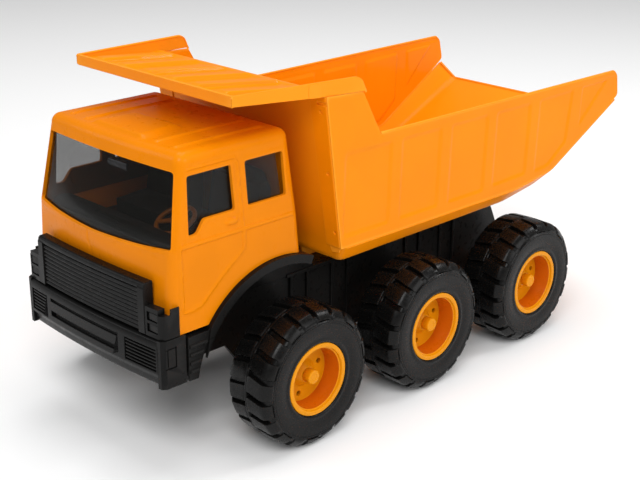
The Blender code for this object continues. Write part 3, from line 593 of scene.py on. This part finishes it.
def build_floor():
    middle = rounded_line(FLOOR_MIDDLE, 7.0, 6)
    edge = rounded_line(FLOOR_EDGE, 7.0, 6)
    rows = []
    for (my, mz), (ey, ez) in zip(middle, edge):
        reach = wall_x(ey, ez) - TRAY_GAP
        half = min(FLOOR_HALF, reach - 2)
        inner = [(half - 5, my, mz), (half - 1.6, my, mz + 0.03 * (ez - mz))]
        outer = [(half + t * (reach - half) + (1 - t) * 0.4, my + (ey - my) * (0.06 + 0.94 * t),
                  mz + (ez - mz) * (0.07 + 0.93 * t)) for t in (0.06, 0.22, 0.5, 0.8, 1.0)]
        right = inner + outer
        flat = [(x, my, mz) for x in np.linspace(-(half - 12), half - 12, 9)]
        rows.append([(-x, y, z) for x, y, z in right[::-1]] + flat + right)
    upper = np.array(rows)
    add_paint("bed_tray", shell(upper, offset_grid(upper, SHEET)), ["bed_floor"], bevel=0.35)
    lip_y, lip_z = FLOOR_MIDDLE[-1]
    edge_x = wall_x(*FLOOR_EDGE[-1]) - 2.5
    path = [(-edge_x, *FLOOR_EDGE[-1])]
    path += [(x, lip_y - 0.6, lip_z - 0.4) for x in np.linspace(-90, 90, 13)]
    path += [(edge_x, *FLOOR_EDGE[-1])]
    add_paint("chute_hem", tube(path, 1.25, 10))
    for k, y in enumerate(BRACE_PLACES):
        half, low = BRACE_HALF, BRACE_HALF - 2.5
        channel = rounded([(y - half, 123.3), (y + half, 123.3), (y + low, 121.0), (y - low, 121.0)], 1.0, 2)
        for x0, x1, label in ((-80.0, -44.0, "right"), (44.0, 80.0, "left")):
            add_paint(f"floor_brace_{label}_{k}", prism(channel, "x", (x0, x1)))


FOLD_INNER = 84.0
FOLD_DIMPLES = (151.0, 200.0, 249.0)


def build_front_folds():
    """The walls' front edges folded over the bulkhead, with three dimples and a small slot each."""
    z = np.linspace(139.0, 261.5, 190)
    along = np.linspace(0, 1, 36)
    z, t = np.meshgrid(z, along, indexing="ij")
    front = 51.7 + (z - 138.0) * (31.5 - 51.7) / 124.0
    outer_x = wall_x(front, z) - 0.5
    x = FOLD_INNER + t * (outer_x - FOLD_INNER)
    depth = np.zeros(z.shape)
    for dimple in FOLD_DIMPLES:
        depth = np.maximum(depth, raised(np.hypot(x - 94.5, z - dimple) - 1.2, 1.0))
    slot = raised(np.maximum(abs(x - 96.0) - 4.5, abs(z - 256.0) - 0.9), 0.9)
    y = front - 0.55 + 1.3 * depth + 1.8 * slot + 1.3 * smooth((t - 0.9) / 0.1)
    grid = np.stack([x, y, z], -1)
    fold = shell(grid, grid + (0, 0.8, 0))
    tab = prism([(84.5, 139.5), (97.5, 139.5), (96.0, 134.0), (88.5, 132.5)], "y", (52.6, 53.6))
    for side, label in SIDES:
        add_paint(f"front_fold_{label}", flipped(fold, side))
        add_paint(f"fold_tab_{label}", flipped(tab, side), bevel=0.3)


# The guard over the cab
GUARD_FRONT, GUARD_REAR = -50.0, 60.0
GUARD_HALF, GUARD_FLARE = 92.5, 11.5     # at the front, and how much wider it is at the rear
GUARD_TOP = 275.0
RIB_CENTRES = np.linspace(-72.0, 72.0, 6)
RIB_HALF, RIB_SLOPE, RIB_HEIGHT = 5.2, 2.2, 2.8


def guard_share(y):
    return (y - GUARD_FRONT) / (GUARD_REAR - GUARD_FRONT)


def guard_half(y):
    return GUARD_HALF + guard_share(y) * GUARD_FLARE


def guard_top(y):
    return GUARD_TOP - 2.0 * guard_share(y)


def build_guard():
    y = np.linspace(GUARD_FRONT + 0.8, 36.5, 46)
    t = np.linspace(-1, 1, 151)
    y, t = np.meshgrid(y, t, indexing="ij")
    x = t * (guard_half(y) - 0.9)
    spread = guard_half(y) / GUARD_HALF
    z = guard_top(y) - 1.0 - 10.0 * guard_share(y)
    rise = np.zeros(z.shape)
    for centre in RIB_CENTRES:
        d = np.abs(x - centre * spread) - RIB_HALF * spread
        rise = np.maximum(rise, raised(d, RIB_SLOPE))
    ends = smooth((y + 45.0) / 5.0) * smooth((33.5 - y) / 5.0)
    z = z - 1.2 * ends + RIB_HEIGHT * rise * ends - 0.4
    deck = np.stack([x, y, z], -1)
    add_paint("guard_deck", shell(deck, deck - (0, 0, SHEET * 0.9)), ["canopy"])
    outline = rounded_line([(GUARD_FRONT, 267.0), (GUARD_FRONT, GUARD_TOP), (61.0, 273.0), (66.0, 270.3),
                            (70.4, 260.9)], 2.0, 4)
    ring = outline + [(68.2, 260.9), (30.0, guard_top(30) - 11.6)]
    dense = divided(ring + ring[:1], 8)
    flange = loft([[(guard_half(a) - inset, a, b) for a, b in dense] for inset in (0.0, 1.4)])
    hem = tube([(guard_half(a) - 0.9, a, b - 1.0) for a, b in outline[2:]], 0.95, 8)
    patch = rounded([(16.0, 262.8), (27.0, 262.2), (27.0, 272.6), (16.0, 272.8)], 1.0, 2)
    patch = bent(prism(patch, "x", (0, 0.7)), lambda p: p + np.outer(guard_half(p[:, 1]) - 0.3, (1, 0, 0)))
    for side, label in SIDES:
        add_paint(f"guard_flange_{label}", flipped(flange, side), bevel=0.4)
        add_paint(f"guard_hem_{label}", flipped(hem, side))
        add_paint(f"guard_patch_{label}", flipped(patch, side), bevel=0.25)
    front = [(GUARD_FRONT, 267.0), (GUARD_FRONT, GUARD_TOP - 0.4), (GUARD_FRONT + 0.5, GUARD_TOP),
             (GUARD_FRONT + 1.6, GUARD_TOP), (GUARD_FRONT + 1.6, 267.0)]
    add_paint("guard_front", prism(front, "x", np.linspace(-92.0, 92.0, 25)), bevel=0.35)
    path = [(x, GUARD_FRONT + 1.0, 267.2) for x in np.linspace(-91.5, 91.5, 13)]
    add_paint("guard_front_hem", tube(path, 0.95, 8))


build_walls()
build_floor()
build_front_folds()
build_guard()


# ---- cab

CAB_LOW, CAB_BELT, CAB_TOP = 108.0, 171.0, 238.0
CAB_CORNER = 8.0
CAB_WALL = 2.6
FRONT_BOW = 3.2
ROOF_ROUND = 8.0
ARCH_CUT = 87.0                # radius of the opening over the front wheel


def between(z, low, belt, top):
    """A size that runs straight from the cab's foot to its belt, and from there to its top."""
    if z <= CAB_BELT:
        return low + (z - CAB_LOW) / (CAB_BELT - CAB_LOW) * (belt - low)
    return belt + (z - CAB_BELT) / (CAB_TOP - CAB_BELT) * (top - belt)


def nose_bulge(x, z):
    """How much further forward the front stands under the windscreen, towards its middle."""
    return 5.0 * (1 - np.minimum(1, np.abs(x) / 76.0) ** 2) * smooth((z - 138.0) / 26.0) * (
        1 - smooth((z - 172.0) / 56.0))


def cab_plan(z):
    """The cab's core at a height: half its width, its front, where its front corners are, and its rear."""
    z = min(z, CAB_TOP - ROOF_ROUND)
    half = between(z, 84.0, 83.5, 79.0) - CAB_CORNER
    front = between(z, -106.0, -103.0, -90.0) + CAB_CORNER
    rear = 29.0 - (z - CAB_LOW) / (CAB_TOP - CAB_LOW) * 13.0 - CAB_CORNER
    return half, front, front + FRONT_BOW, rear


def cab_core(z, s_list, t_list):
    """Points round the core at a height, which way the skin lies from each, and which zone each is in."""
    half, front, corner_y, rear = cab_plan(z)
    core, way, zone = [], [], []

    def put(x, y, angle, where):
        core.append((x, y))
        way.append((math.sin(angle), -math.cos(angle)))
        zone.append(where)

    steps = [math.radians(a) for a in range(10, 90, 10)]
    for s in s_list:
        put(s * half, front + FRONT_BOW * s * s, 0.0, "front")
    for a in steps:
        put(half, corner_y, a, "corner")
    for t in t_list:
        put(half, corner_y + t * (rear - corner_y), math.pi / 2, "side")
    for a in steps:
        put(half, rear, math.pi / 2 + a, "corner")
    for s in s_list[::-1]:
        put(s * half, rear, math.pi, "rear")
    for a in steps:
        put(-half, rear, math.pi + a, "corner")
    for t in t_list[::-1]:
        put(-half, corner_y + t * (rear - corner_y), 1.5 * math.pi, "side")
    for a in steps:
        put(-half, corner_y, 1.5 * math.pi + a, "corner")
    return np.array(core), np.array(way), np.array(zone)


DOOR_LINE = [(-91.5, 123.0), (-92.0, 172.0), (-90.8, 190.0), (-87.6, 222.5), (-84.5, 226.3), (-38.5, 226.6),
             (-35.8, 222.5), (-34.8, 202.0), (-33.6, 173.0), (-33.0, 158.5), (-38.0, 153.6), (-46.0, 148.6),
             (-57.0, 140.5), (-72.0, 127.6), (-77.0, 124.2), (-91.5, 123.0)]


def side_relief(y, z):
    relief = 0.75 * bead(line_distance(y, z, DOOR_LINE), 1.15)
    belt = np.maximum(abs(z - 172.6) - 1.5, np.maximum(-95.0 - y, y - 24.0))
    relief = np.maximum(relief, 0.85 * raised(belt, 1.1))
    post = np.maximum(abs(y + 33.4) - 1.4, abs(z - 165.0) - 8.0)
    relief = np.maximum(relief, 0.9 * raised(post, 1.0))
    for window in (DOOR_WINDOW, REAR_WINDOW):
        frame_edge = np.abs(polygon_distance(y, z, window) - 1.6) - 0.7
        relief = np.maximum(relief, 0.35 * raised(frame_edge, 0.9))
    handle = np.hypot((y + 44.5) / 5.2, (z - 181.0) / 2.3) - 1.0
    return np.maximum(relief, 1.9 * smooth(0.5 - handle))


def front_relief(x, z):
    seam = segment_distance(x, z, (-4.0, 167.5), (-4.0, 130.0))
    relief = -0.7 * bead(seam, 0.8)
    sill = np.maximum(abs(z - 168.0) - 1.0, abs(x) - 77.0)
    return relief + 0.45 * raised(sill, 1.2)


HATCH = [(-33.0, -92.5), (33.0, -92.5), (27.0, -42.0), (-27.0, -42.0)]
ROOF_RIBS = (42.0, 62.5)
ROOF_STUDS = [(x, -13.0) for x in (-38.0, -19.0, 0.0, 19.0, 38.0)] + [(-36.5, -84.5), (36.5, -84.5)]


def roof_relief(x, y):
    relief = 2.6 * raised(polygon_distance(x, y, rounded(HATCH, 5.0, 4)) + 1.5, 8.0)
    for centre in ROOF_RIBS:
        rib = np.maximum(np.abs(np.abs(x) - centre) - 2.2, np.maximum(-79.0 - y, y - 3.0))
        relief = np.maximum(relief, 1.1 * raised(rib + 0.4, 2.4))
    for stud_x, stud_y in ROOF_STUDS:
        relief = relief + 0.8 * raised(np.hypot(x - stud_x, y - stud_y) - 1.2, 1.8)
    return relief


def cab_solid(inset, s_list, t_list, levels, detailed):
    """A closed cab body. The inner one, which hollows it out, is plain and reaches below it."""
    rows = []
    round_steps = np.radians(np.linspace(0, 90, 8 if detailed else 4))[1:]
    heights = [(z, 0.0) for z in levels] + [(CAB_TOP - ROOF_ROUND, a) for a in round_steps]
    for z, a in heights:
        core, way, zone = cab_core(z, s_list, t_list)
        reach = (CAB_CORNER - inset) * math.cos(a)
        level = z + (ROOF_ROUND - inset) * math.sin(a)
        ring = np.column_stack([core + way * reach, np.full(len(core), level)])
        rows.append((ring, way))
    grid = np.stack([ring for ring, _ in rows])
    ways = np.stack([way for _, way in rows])
    if detailed:
        count = len(levels)
        x, y, z = grid[:count, :, 0], grid[:count, :, 1], grid[:count, :, 2]
        bump = np.where(zone == "side", side_relief(y, z), 0.0)
        bump += np.where(zone == "front", front_relief(x, z), 0.0)
        fade = smooth((CAB_TOP - ROOF_ROUND - z) / 2.0)
        grid[:count, :, :2] += ways[:count] * (bump * fade)[..., None]
    is_front = zone == "front"
    grid[:, is_front, 1] -= nose_bulge(grid[:, is_front, 0], grid[:, is_front, 2])
    points = grid.reshape(-1, 3)
    faces = grid_faces(*grid.shape[:2], loop_cols=True)
    faces.append(list(range(grid.shape[1]))[::-1])
    half, front, _, rear = cab_plan(CAB_TOP)
    s, t = np.meshgrid(s_list, t_list, indexing="ij")
    x = s * half
    start = front + FRONT_BOW * s * s
    y = start + t * (rear - start)
    z = np.full(x.shape, CAB_TOP - inset)
    if detailed:
        z = z + roof_relief(x, y) * smooth((1 - np.abs(s)) * 20) * smooth(t * 20) * smooth((1 - t) * 20)
        z = z + 0.7 * (1 - s * s) * (1 - (2 * t - 1) ** 2)
    roof = np.stack([x, y, z], -1).reshape(-1, 3)
    return merge((points, faces), (roof, grid_faces(len(s_list), len(t_list))))


WINDOW_TOP, WINDOW_SILL = 222.0, 188.5
DOOR_WINDOW = [(-82.0, WINDOW_TOP), (-42.0, WINDOW_TOP), (-40.5, WINDOW_SILL), (-69.0, WINDOW_SILL),
               (-76.5, 179.0), (-84.0, 179.0)]
REAR_WINDOW = [(-29.0, WINDOW_TOP), (8.0, WINDOW_TOP), (9.5, WINDOW_SILL), (-28.0, WINDOW_SILL)]
SCREEN = [(-80.4, 171.5), (-50.0, 169.6), (0.0, 168.2), (50.0, 169.6), (80.4, 171.5), (74.8, 225.0),
          (-74.8, 225.0)]
GLASS_FACES = (2.95, 4.35)     # in from the cab's skin


def build_cab():
    roof = CAB_TOP - ROOF_ROUND
    levels = np.concatenate([np.linspace(CAB_LOW, 170.0, 46), np.linspace(170.8, 176.0, 8),
                             np.linspace(177.0, roof, 46)])
    outside = cab_solid(0.0, np.linspace(-1, 1, 120), np.linspace(0, 1, 96), levels, True)
    inner_levels = [CAB_LOW - 5, 138.0, 144.0, 151.0, 158.0, 164.0, CAB_BELT, 185.0, 200.0, 215.0, roof]
    inside = cab_solid(CAB_WALL, np.linspace(-1, 1, 25), np.linspace(0, 1, 4), inner_levels, False)
    arch = arc_points(ARCH_CUT, 0, 180, 90)
    openings = [prism(rounded(SCREEN, 2.6, 5), "y", (-125, -84))]
    openings += [prism(rounded(window, 2.2, 4), "x", (-92, 92)) for window in (DOOR_WINDOW, REAR_WINDOW)]
    body = cut(mesh_from("cab_body", outside), inside, *openings, prism(arch, "x", (-92, 92)), angle=28)
    add("cab_body", body, CAB, "chassis", ["cab_shell"])


def build_glass():
    """One smoked moulding, shaped like a U in plan, that turns round the cab's front corners."""
    layers = []
    arc = [math.radians(a) for a in (15, 30, 45, 60, 75)]
    for inset in GLASS_FACES:
        reach = CAB_CORNER - inset
        rows = []
        for z in np.linspace(167.5, 226.0, 16):
            half, front, corner_y, _ = cab_plan(z)
            right = [(-half - reach, y) for y in np.linspace(8.0 - (z - 174) / 10, corner_y, 14)]
            right += [(-half - reach * math.cos(a), corner_y - reach * math.sin(a)) for a in arc]
            nose = [(s * half, front + FRONT_BOW * s * s - reach - nose_bulge(s * half, z))
                    for s in np.linspace(-1, 1, 25)]
            left = [(half + reach * math.sin(a), corner_y - reach * math.cos(a)) for a in arc]
            left += [(half + reach, y) for y in np.linspace(8.0 - (z - 174) / 10, corner_y, 14)[::-1]]
            rows.append([(x, y, z) for x, y in right + nose + left])
        layers.append(np.array(rows))
    add("glazing", shell(*layers), GLASS, "chassis", ["window_insert"])


SEAT_X, SEAT_HALF, SEAT_THICK = 39.0, 26.0, 4.6
SEAT_LOW, SEAT_RISE, SEAT_LEAN = 164.0, 38.0, 8.5


def build_interior():
    """Seat backs with rounded tops and rolled sides over the tub, and the dashboard's cowl."""
    rings = []
    for t in np.linspace(0, 1, 22):
        z = SEAT_LOW + SEAT_RISE * math.sin(t * math.pi / 2)
        half = SEAT_HALF * math.sqrt(max(0.02, 1 - max(0.0, (t - 0.25) / 0.75) ** 3.2))
        thick = SEAT_THICK * math.sqrt(max(0.05, 1 - max(0.0, (t - 0.5) / 0.5) ** 3))
        y = -1.0 + SEAT_LEAN * (z - SEAT_LOW) / SEAT_RISE
        ring = []
        for a in np.linspace(0, 2 * math.pi, 40, endpoint=False):
            c, s = math.cos(a), math.sin(a)
            channel = 0.5 * math.cos(c * 3 * math.pi) if abs(c) < 0.9 else 0
            ring.append((SEAT_X + half * math.copysign(abs(c) ** 0.5, c),
                         y + (thick + channel) * math.copysign(abs(s) ** 0.7, s), z))
        rings.append(ring)
    for side, label in SIDES:
        add(f"seat_back_{label}", flipped(loft(rings), side), INTERIOR, "chassis")
    cowl = rounded([(-92.0, 165.0), (-92.0, 170.5), (-86.0, 173.0), (-76.0, 171.5), (-69.0, 166.5),
                    (-69.0, 164.5)], 2.5, 4)
    add("dash_cowl", prism(cowl, "x", np.linspace(-74, 74, 21)), INTERIOR, "chassis",
        bevel=0.6)


STEERING_CENTRE, STEERING_RADIUS, STEERING_TILT = (38.0, -60.0, 174.0), 15.0, 24
GRIP_RADIUS, GRIP_STEPS, GRIP_SIDES = 1.7, 64, 12
MIRROR_CENTRE, MIRROR_HALF = np.array((0, -81.2, 213.0)), 10.8


def build_steering():
    """The steering wheel with its ribbed grip, and the driving mirror on its stalk."""
    points = []
    for a in np.arange(GRIP_STEPS) * 2 * math.pi / GRIP_STEPS:
        for b in np.arange(GRIP_SIDES) * 2 * math.pi / GRIP_SIDES:
            r = STEERING_RADIUS + GRIP_RADIUS * math.cos(b) + 0.12 * math.cos(a * 32)
            points.append((r * math.cos(a), r * math.sin(a), GRIP_RADIUS * math.sin(b)))
    shape = [(points, grid_faces(GRIP_STEPS, GRIP_SIDES, loop_rows=True, loop_cols=True))]
    shape.append(prism(circle(4.4, 28), "z", (-1.7, -1.2, 1.2, 1.7)))
    spoke = prism([(2.5, -2.2), (14.2, -1.4), (14.2, 1.4), (2.5, 2.2)], "z", (-0.9, 0.9))
    for degrees in (90, 210, 330):
        spin = np.array(Matrix.Rotation(math.radians(degrees), 3, "Z"))
        shape.append(bent(spoke, lambda p: p @ spin.T))
    tilt = np.array(Matrix.Rotation(math.radians(STEERING_TILT), 3, "X"))
    add("driving_wheel", bent(merge(*shape), lambda p: p @ tilt.T + STEERING_CENTRE), WHEEL_FINISH,
        "chassis", ["steering_wheel"], bevel=0.3)
    bar = [MIRROR_CENTRE + (x, -0.6 * (1 - (x / 11) ** 2), 0)
           for x in np.linspace(-MIRROR_HALF, MIRROR_HALF, 15)]
    bar = bent(tube(bar, 3.6, 20), lambda p: (p - MIRROR_CENTRE) * (1, 0.5, 0.9) + MIRROR_CENTRE)
    add("mirror_bar", bar, MIRROR, "chassis", ["rear_view_mirror"], bevel=0.8)
    stalk = [(0.0, -80.6, 214.5), (0.0, -79.0, 222.0), (0.0, -76.5, 229.0), (0.0, -75.5, 235.2)]
    add_trim("mirror_stalk", tube(stalk, 1.1, 12))


# ---- nose

BUMPER_HALF = 86.0
BOW, BOW_FRONT = 4.0, -100.0             # how far the nose is bowed, and what is far enough forward to be
NOSE_CLEAR = -120.0
SLOT_SPAN = (-50, 37)
LAMP_SPANS, FIN_SPANS = ((45.0, 78.5), (-78.5, -56.0)), ((45.2, 78.3), (-78.3, -56.2))
LOUVRES, LOUVRE_LOW, LOUVRE_HIGH = 10, 109.8, 142.0


def bowed(shape):
    """The nose stands forward towards its middle."""
    def bow(p):
        back = BOW * np.minimum(1, (p[:, 0] / BUMPER_HALF) ** 2) * (p[:, 1] < BOW_FRONT)
        return p + np.outer(back, (0, 1, 0))

    return bent(shape, bow)


def bar_x(outline, x0, x1):
    """An outline in y and z drawn across, with enough stations to follow the bow."""
    return bowed(prism(outline, "x", np.linspace(x0, x1, max(2, int(abs(x1 - x0) / 6) + 1))))


def slot_cutter(y, z0, z1, span):
    """A cutter that reaches from ahead of the nose back to y, over a span across it."""
    return bar_x([(NOSE_CLEAR, z0), (y, z0), (y, z1), (NOSE_CLEAR, z1)], *span)


def corner_piece(plan, heights, grooves, side):
    """An upright piece at the nose's corner with its grooves cut, on one side."""
    body = mesh_from("corner", flipped(prism(plan, "z", heights), side))
    return cut(body, *[flipped(shape, side) for shape in grooves])


def build_bumper():
    section = [(-92.5, 71.5), (-112.0, 70.5), (-114.2, 72.5), (-115.2, 78.0), (-117.0, 81.5), (-117.0, 103.0),
               (-116.2, 106.6), (-113.5, 107.9), (-106.0, 108.0), (-106.0, 104.0), (-110.5, 103.0),
               (-110.5, 76.0), (-92.5, 75.0)]
    body = mesh_from("bumper_front", bar_x(rounded(section, 0.8, 2), -80.5, 80.5))
    slots = [slot_cutter(-115.2, 98.2, 100.8, SLOT_SPAN), slot_cutter(-114.6, 86.2, 90.4, SLOT_SPAN)]
    slots += [slot_cutter(-114.3, 83.2, 100.6, span) for span in LAMP_SPANS]
    add_trim("bumper_front", cut(body, *slots, angle=30), ["front_bumper"], bevel=0.45)
    for k in range(6):
        z = 84.3 + 2.75 * k
        fin = rounded([(-114.2, z - 0.5), (-116.4, z - 0.1), (-116.4, z + 1.0), (-114.2, z + 1.4)], 0.4, 2)
        add_trim(f"bumper_fin_{k}", merge(*[bar_x(fin, x0, x1) for x0, x1 in FIN_SPANS]))
    plan = [(80.0, -113.2), (83.5, -113.0), (86.0, -109.5), (86.0, -92.0), (82.0, -92.0), (80.0, -106.0)]
    grooves = [block((85.2, y0, z0), (88.0, y1, z1)) for y0, y1, z0, z1 in (
        (-110.0, -100.8, 85.6, 86.8), (-110.0, -100.8, 100.6, 101.8),
        (-101.6, -100.4, 85.6, 101.8), (-108.8, -107.8, 85.6, 101.8))]
    for side, label in SIDES:
        wing = corner_piece(plan, (70.6, 76.0, 106.4, 108.0), grooves, side)
        add_trim(f"bumper_wing_{label}", wing, bevel=0.7)


def build_grille():
    plate = [(-112.3, 108.4), (-112.3, 146.0), (-106.6, 146.6), (-106.6, 108.4)]
    add_trim("grille_back", bar_x(plate, -65.5, 65.5), ["grille_panel"], bevel=0.3)
    pitch = (LOUVRE_HIGH - LOUVRE_LOW) / LOUVRES
    for k in range(LOUVRES):
        z = LOUVRE_LOW + k * pitch
        louvre = rounded([(-112.0, z + 0.2), (-114.4, z + 0.1), (-114.6, z + 1.2), (-113.2, z + pitch * 0.8),
                          (-112.0, z + pitch * 0.9)], 0.35, 2)
        add_trim(f"grille_louvre_{k}", bar_x(louvre, -59.5, 59.5))
    top = rounded([(-106.7, 142.4), (-114.2, 142.2), (-115.0, 143.2), (-114.8, 145.8), (-113.4, 147.2),
                   (-106.7, 147.4)], 0.6, 3)
    post = rounded([(-106.7, 108.4), (-115.4, 108.4), (-115.4, 143.0), (-114.0, 146.0), (-106.7, 146.5)],
                   0.8, 3)
    for k, shape in enumerate((bar_x(top, -66.3, 66.3), bar_x(post, 59.8, 66.4), bar_x(post, -66.4, -59.8))):
        add_trim(f"grille_frame_{k}", shape, bevel=0.5)


def build_lamps():
    plan = [(66.9, -112.6), (81.0, -111.6), (84.6, -109.6), (85.2, -106.0), (85.2, -96.2), (84.4, -96.2),
            (84.4, -105.0), (66.9, -106.6)]
    dents = [block((69.0, NOSE_CLEAR, 112.0), (79.8, -110.6, 118.4)),
             block((69.0, NOSE_CLEAR, 120.6), (79.8, -110.6, 127.4)),
             block((80.4, NOSE_CLEAR, 126.6), (92.0, -104.0, 135.0))]
    lenses = merge(*[block((69.4, -111.3, z), (79.4, -110.4, z + 5.6)) for z in (112.4, 121.0)])
    for side, label in SIDES:
        body = corner_piece(plan, (108.4, 112.0, 127.5, 130.8), dents, side)
        add_trim(f"lamp_body_{label}", body, [f"lamp_block_{label}"], bevel=0.5)
        add_trim(f"lamp_lens_{label}", flipped(lenses, side), bevel=0.6)


def arc_points(radius, start, end, steps):
    return [(radius * math.cos(math.radians(a)), AXLE_Z + radius * math.sin(math.radians(a)))
            for a in np.linspace(start, end, steps)]


MUDGUARD_OUTER, MUDGUARD_INNER, LIP_INNER = 86.7, 82.7, 79.6
MUDGUARD_REAR = 67.2           # degrees up from straight back
SKIRT_FRONT, SKIRT_TOP, SKIRT_FOOT = -90.0, 105.0, 70.0


def build_arches():
    """The mudguard, its rolled outer lip, and the louvred skirt ahead of the wheel."""
    def front_angle(radius, z):
        return 180 - math.degrees(math.asin((z - AXLE_Z) / radius))

    front, low = front_angle(MUDGUARD_OUTER, SKIRT_TOP), front_angle(MUDGUARD_INNER, SKIRT_FOOT)
    outline = arc_points(MUDGUARD_OUTER, MUDGUARD_REAR + 0.8, front, 40)
    outline += [(SKIRT_FRONT, SKIRT_TOP), (SKIRT_FRONT, SKIRT_FOOT + 0.3)]
    outline += arc_points(MUDGUARD_INNER, MUDGUARD_REAR + 0.8, low, 44)[::-1]
    lip = arc_points(MUDGUARD_OUTER, MUDGUARD_REAR, front - 1, 44)
    lip += arc_points(LIP_INNER, MUDGUARD_REAR, front + 14, 50)[::-1]
    plate = arc_points(82.3, 41.5, 138.5, 40)
    for side, label in SIDES:
        mudguard = flipped(prism(outline, "x", (58.6, 86.6)), side)
        add_trim(f"mudguard_{label}", mudguard, [f"wheel_arch_{label}"], bevel=0.6)
        add_trim(f"mudguard_lip_{label}", flipped(prism(lip, "x", (85.2, 88.0)), side), bevel=0.8)
        add_trim(f"splash_plate_{label}", flipped(prism(plate, "x", (58.6, 60.4)), side), bevel=0.4)
        for k in range(4):
            z = 76.0 + 6.6 * k
            rear = -MUDGUARD_INNER * math.cos(math.asin((z - AXLE_Z) / MUDGUARD_INNER)) - 1.5
            rib = rounded([(86.2, z), (88.0, z + 0.8), (88.0, z + 2.6), (86.2, z + 3.4)], 0.5, 2)
            add_trim(f"skirt_louvre_{label}_{k}", flipped(prism(rib, "y", (-89.3, rear)), side))


FRAME_HALF = 58.0
FRAME_RIBS = (36.0, 54.0, 82.0, 100.0, 172.0, 190.0, 218.0, 236.0)
BOSS_RADIUS, BOSS_BORE, BOSS_FACE = 9.5, 3.4, 59.2


def build_chassis():
    """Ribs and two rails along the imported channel's flanks, and a boss round each axle."""
    ribs = [block((FRAME_HALF, y - 1.2, 48.0), (60.4, y + 1.2, 110.0)) for y in FRAME_RIBS]
    ribs += [block((FRAME_HALF, 30.0, 108.6), (61.5, 286.0, 111.6)),
             block((FRAME_HALF, -8.0, 45.2), (60.8, 296.0, 48.2))]
    bosses = []
    for y, z in WHEEL_ROWS.values():
        rim, bore = circle(BOSS_RADIUS, 36, y, z), circle(BOSS_BORE, 36, y, z)
        loops = ((FRAME_HALF, rim), (BOSS_FACE, rim), (BOSS_FACE, bore), (FRAME_HALF, bore))
        points = [(x, a, b) for x, loop in loops for a, b in loop]
        bosses.append((points, grid_faces(4, 36, loop_rows=True, loop_cols=True)))
    for side, label in SIDES:
        add_trim(f"frame_ribs_{label}", flipped(merge(*ribs), side), bevel=0.5)
        add_trim(f"axle_bosses_{label}", flipped(merge(*bosses), side), bevel=0.3)


build_cab()
build_glass()
build_interior()
build_steering()
build_bumper()
build_grille()
build_lamps()
build_arches()
build_chassis()

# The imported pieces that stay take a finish, and rounded edges of this width in this many steps.
PACKED = [(["chassis_frame"], TRIM, 0.9, 2), (["interior_tub"], INTERIOR, 1.4, 3),
          (["steering_column"], TRIM, 0.5, 2), (["bed_rail_left", "bed_rail_right"], PAINT, 0.5, 2),
          (["hinge_pin", "axle_front", "axle_middle", "axle_rear"], STEEL, 0.5, 2)]
for nodes, material, width, segments in PACKED:
    for node in nodes:
        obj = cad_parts[node]
        obj.data.materials.clear()
        obj.data.materials.append(material)
        soften(obj, width, segments)


# ---- camera, light and floor

TRUCK_MIDDLE = (0, 0, 0.12)
FLOOR_HALF_WIDTH, FLOOR_DROP, FLOOR_STEPS = 9.0, 0.0002, 5    # metres
CAMERA_PLACE = (720.1, -588.7, 484.2)
CAMERA_BACK, CAMERA_RIGHT = (0.6630, -0.6591, 0.3549), (0.7050, 0.7092, 0.0)
CAMERA_ROLL, CAMERA_LENS = 0.398, 69.96


def build_camera():
    back = Vector(CAMERA_BACK).normalized()
    right = Vector(CAMERA_RIGHT).normalized()
    up = back.cross(right).normalized()
    roll = math.radians(CAMERA_ROLL)
    across = right * math.cos(roll) + up * math.sin(roll)
    above = up * math.cos(roll) - right * math.sin(roll)
    data = bpy.data.cameras.new("camera")
    data.sensor_width = 36.0
    data.lens = CAMERA_LENS
    data.clip_end = 50
    camera = linked("camera", data)
    place = Vector(row([CAMERA_PLACE])[0])
    camera.matrix_world = Matrix.Translation(place) @ Matrix(
        [[across[i], above[i], back[i]] for i in range(3)]).to_4x4()
    bpy.context.scene.camera = camera


def area_light(name, place, size, power):
    """A round soft light aimed at the middle of the truck. Its place and size are in metres."""
    data = bpy.data.lights.new(name, "AREA")
    data.shape = "DISK"
    data.size = size
    data.energy = power
    light = linked(name, data)
    light.location = place
    light.rotation_euler = (Vector(place) - Vector(TRUCK_MIDDLE)).to_track_quat("Z", "Y").to_euler()


def build_floor_plane():
    span = np.linspace(-FLOOR_HALF_WIDTH, FLOOR_HALF_WIDTH, FLOOR_STEPS)
    x, y = np.meshgrid(span, span, indexing="ij")
    mesh = bpy.data.meshes.new("floor")
    points = np.stack([x, y, 0 * x - FLOOR_DROP], -1).reshape(-1, 3)
    mesh.from_pydata(points.tolist(), [], grid_faces(FLOOR_STEPS, FLOOR_STEPS))
    floor = linked("floor", mesh)
    material = bpy.data.materials.new("pale_floor")
    material.use_nodes = True
    shader = material.node_tree.nodes["Principled BSDF"]
    shader.inputs["Base Color"].default_value = (0.95, 0.95, 0.95, 1)
    shader.inputs["Roughness"].default_value = 0.9
    shader.inputs["Specular IOR Level"].default_value = 0.1
    mesh.materials.append(material)


build_camera()
build_floor_plane()
area_light("key", (1.1, -1.3, 1.7), 1.3, 28)
area_light("top", (-0.3, 0.3, 2.2), 1.8, 25)
area_light("side", (2.2, 0.5, 1.1), 1.4, 15)
area_light("left_front", (-1.7, -1.6, 1.2), 1.2, 8)
area_light("rear_glint", (0.8, 1.35, 1.3), 0.45, 7)
world = bpy.data.worlds.new("studio")
bpy.context.scene.world = world
world.use_nodes = True
background = world.node_tree.nodes["Background"]
background.inputs["Color"].default_value = (1, 1, 1, 1)
background.inputs["Strength"].default_value = 0.30
bpy.context.scene.view_settings.view_transform = "Standard"
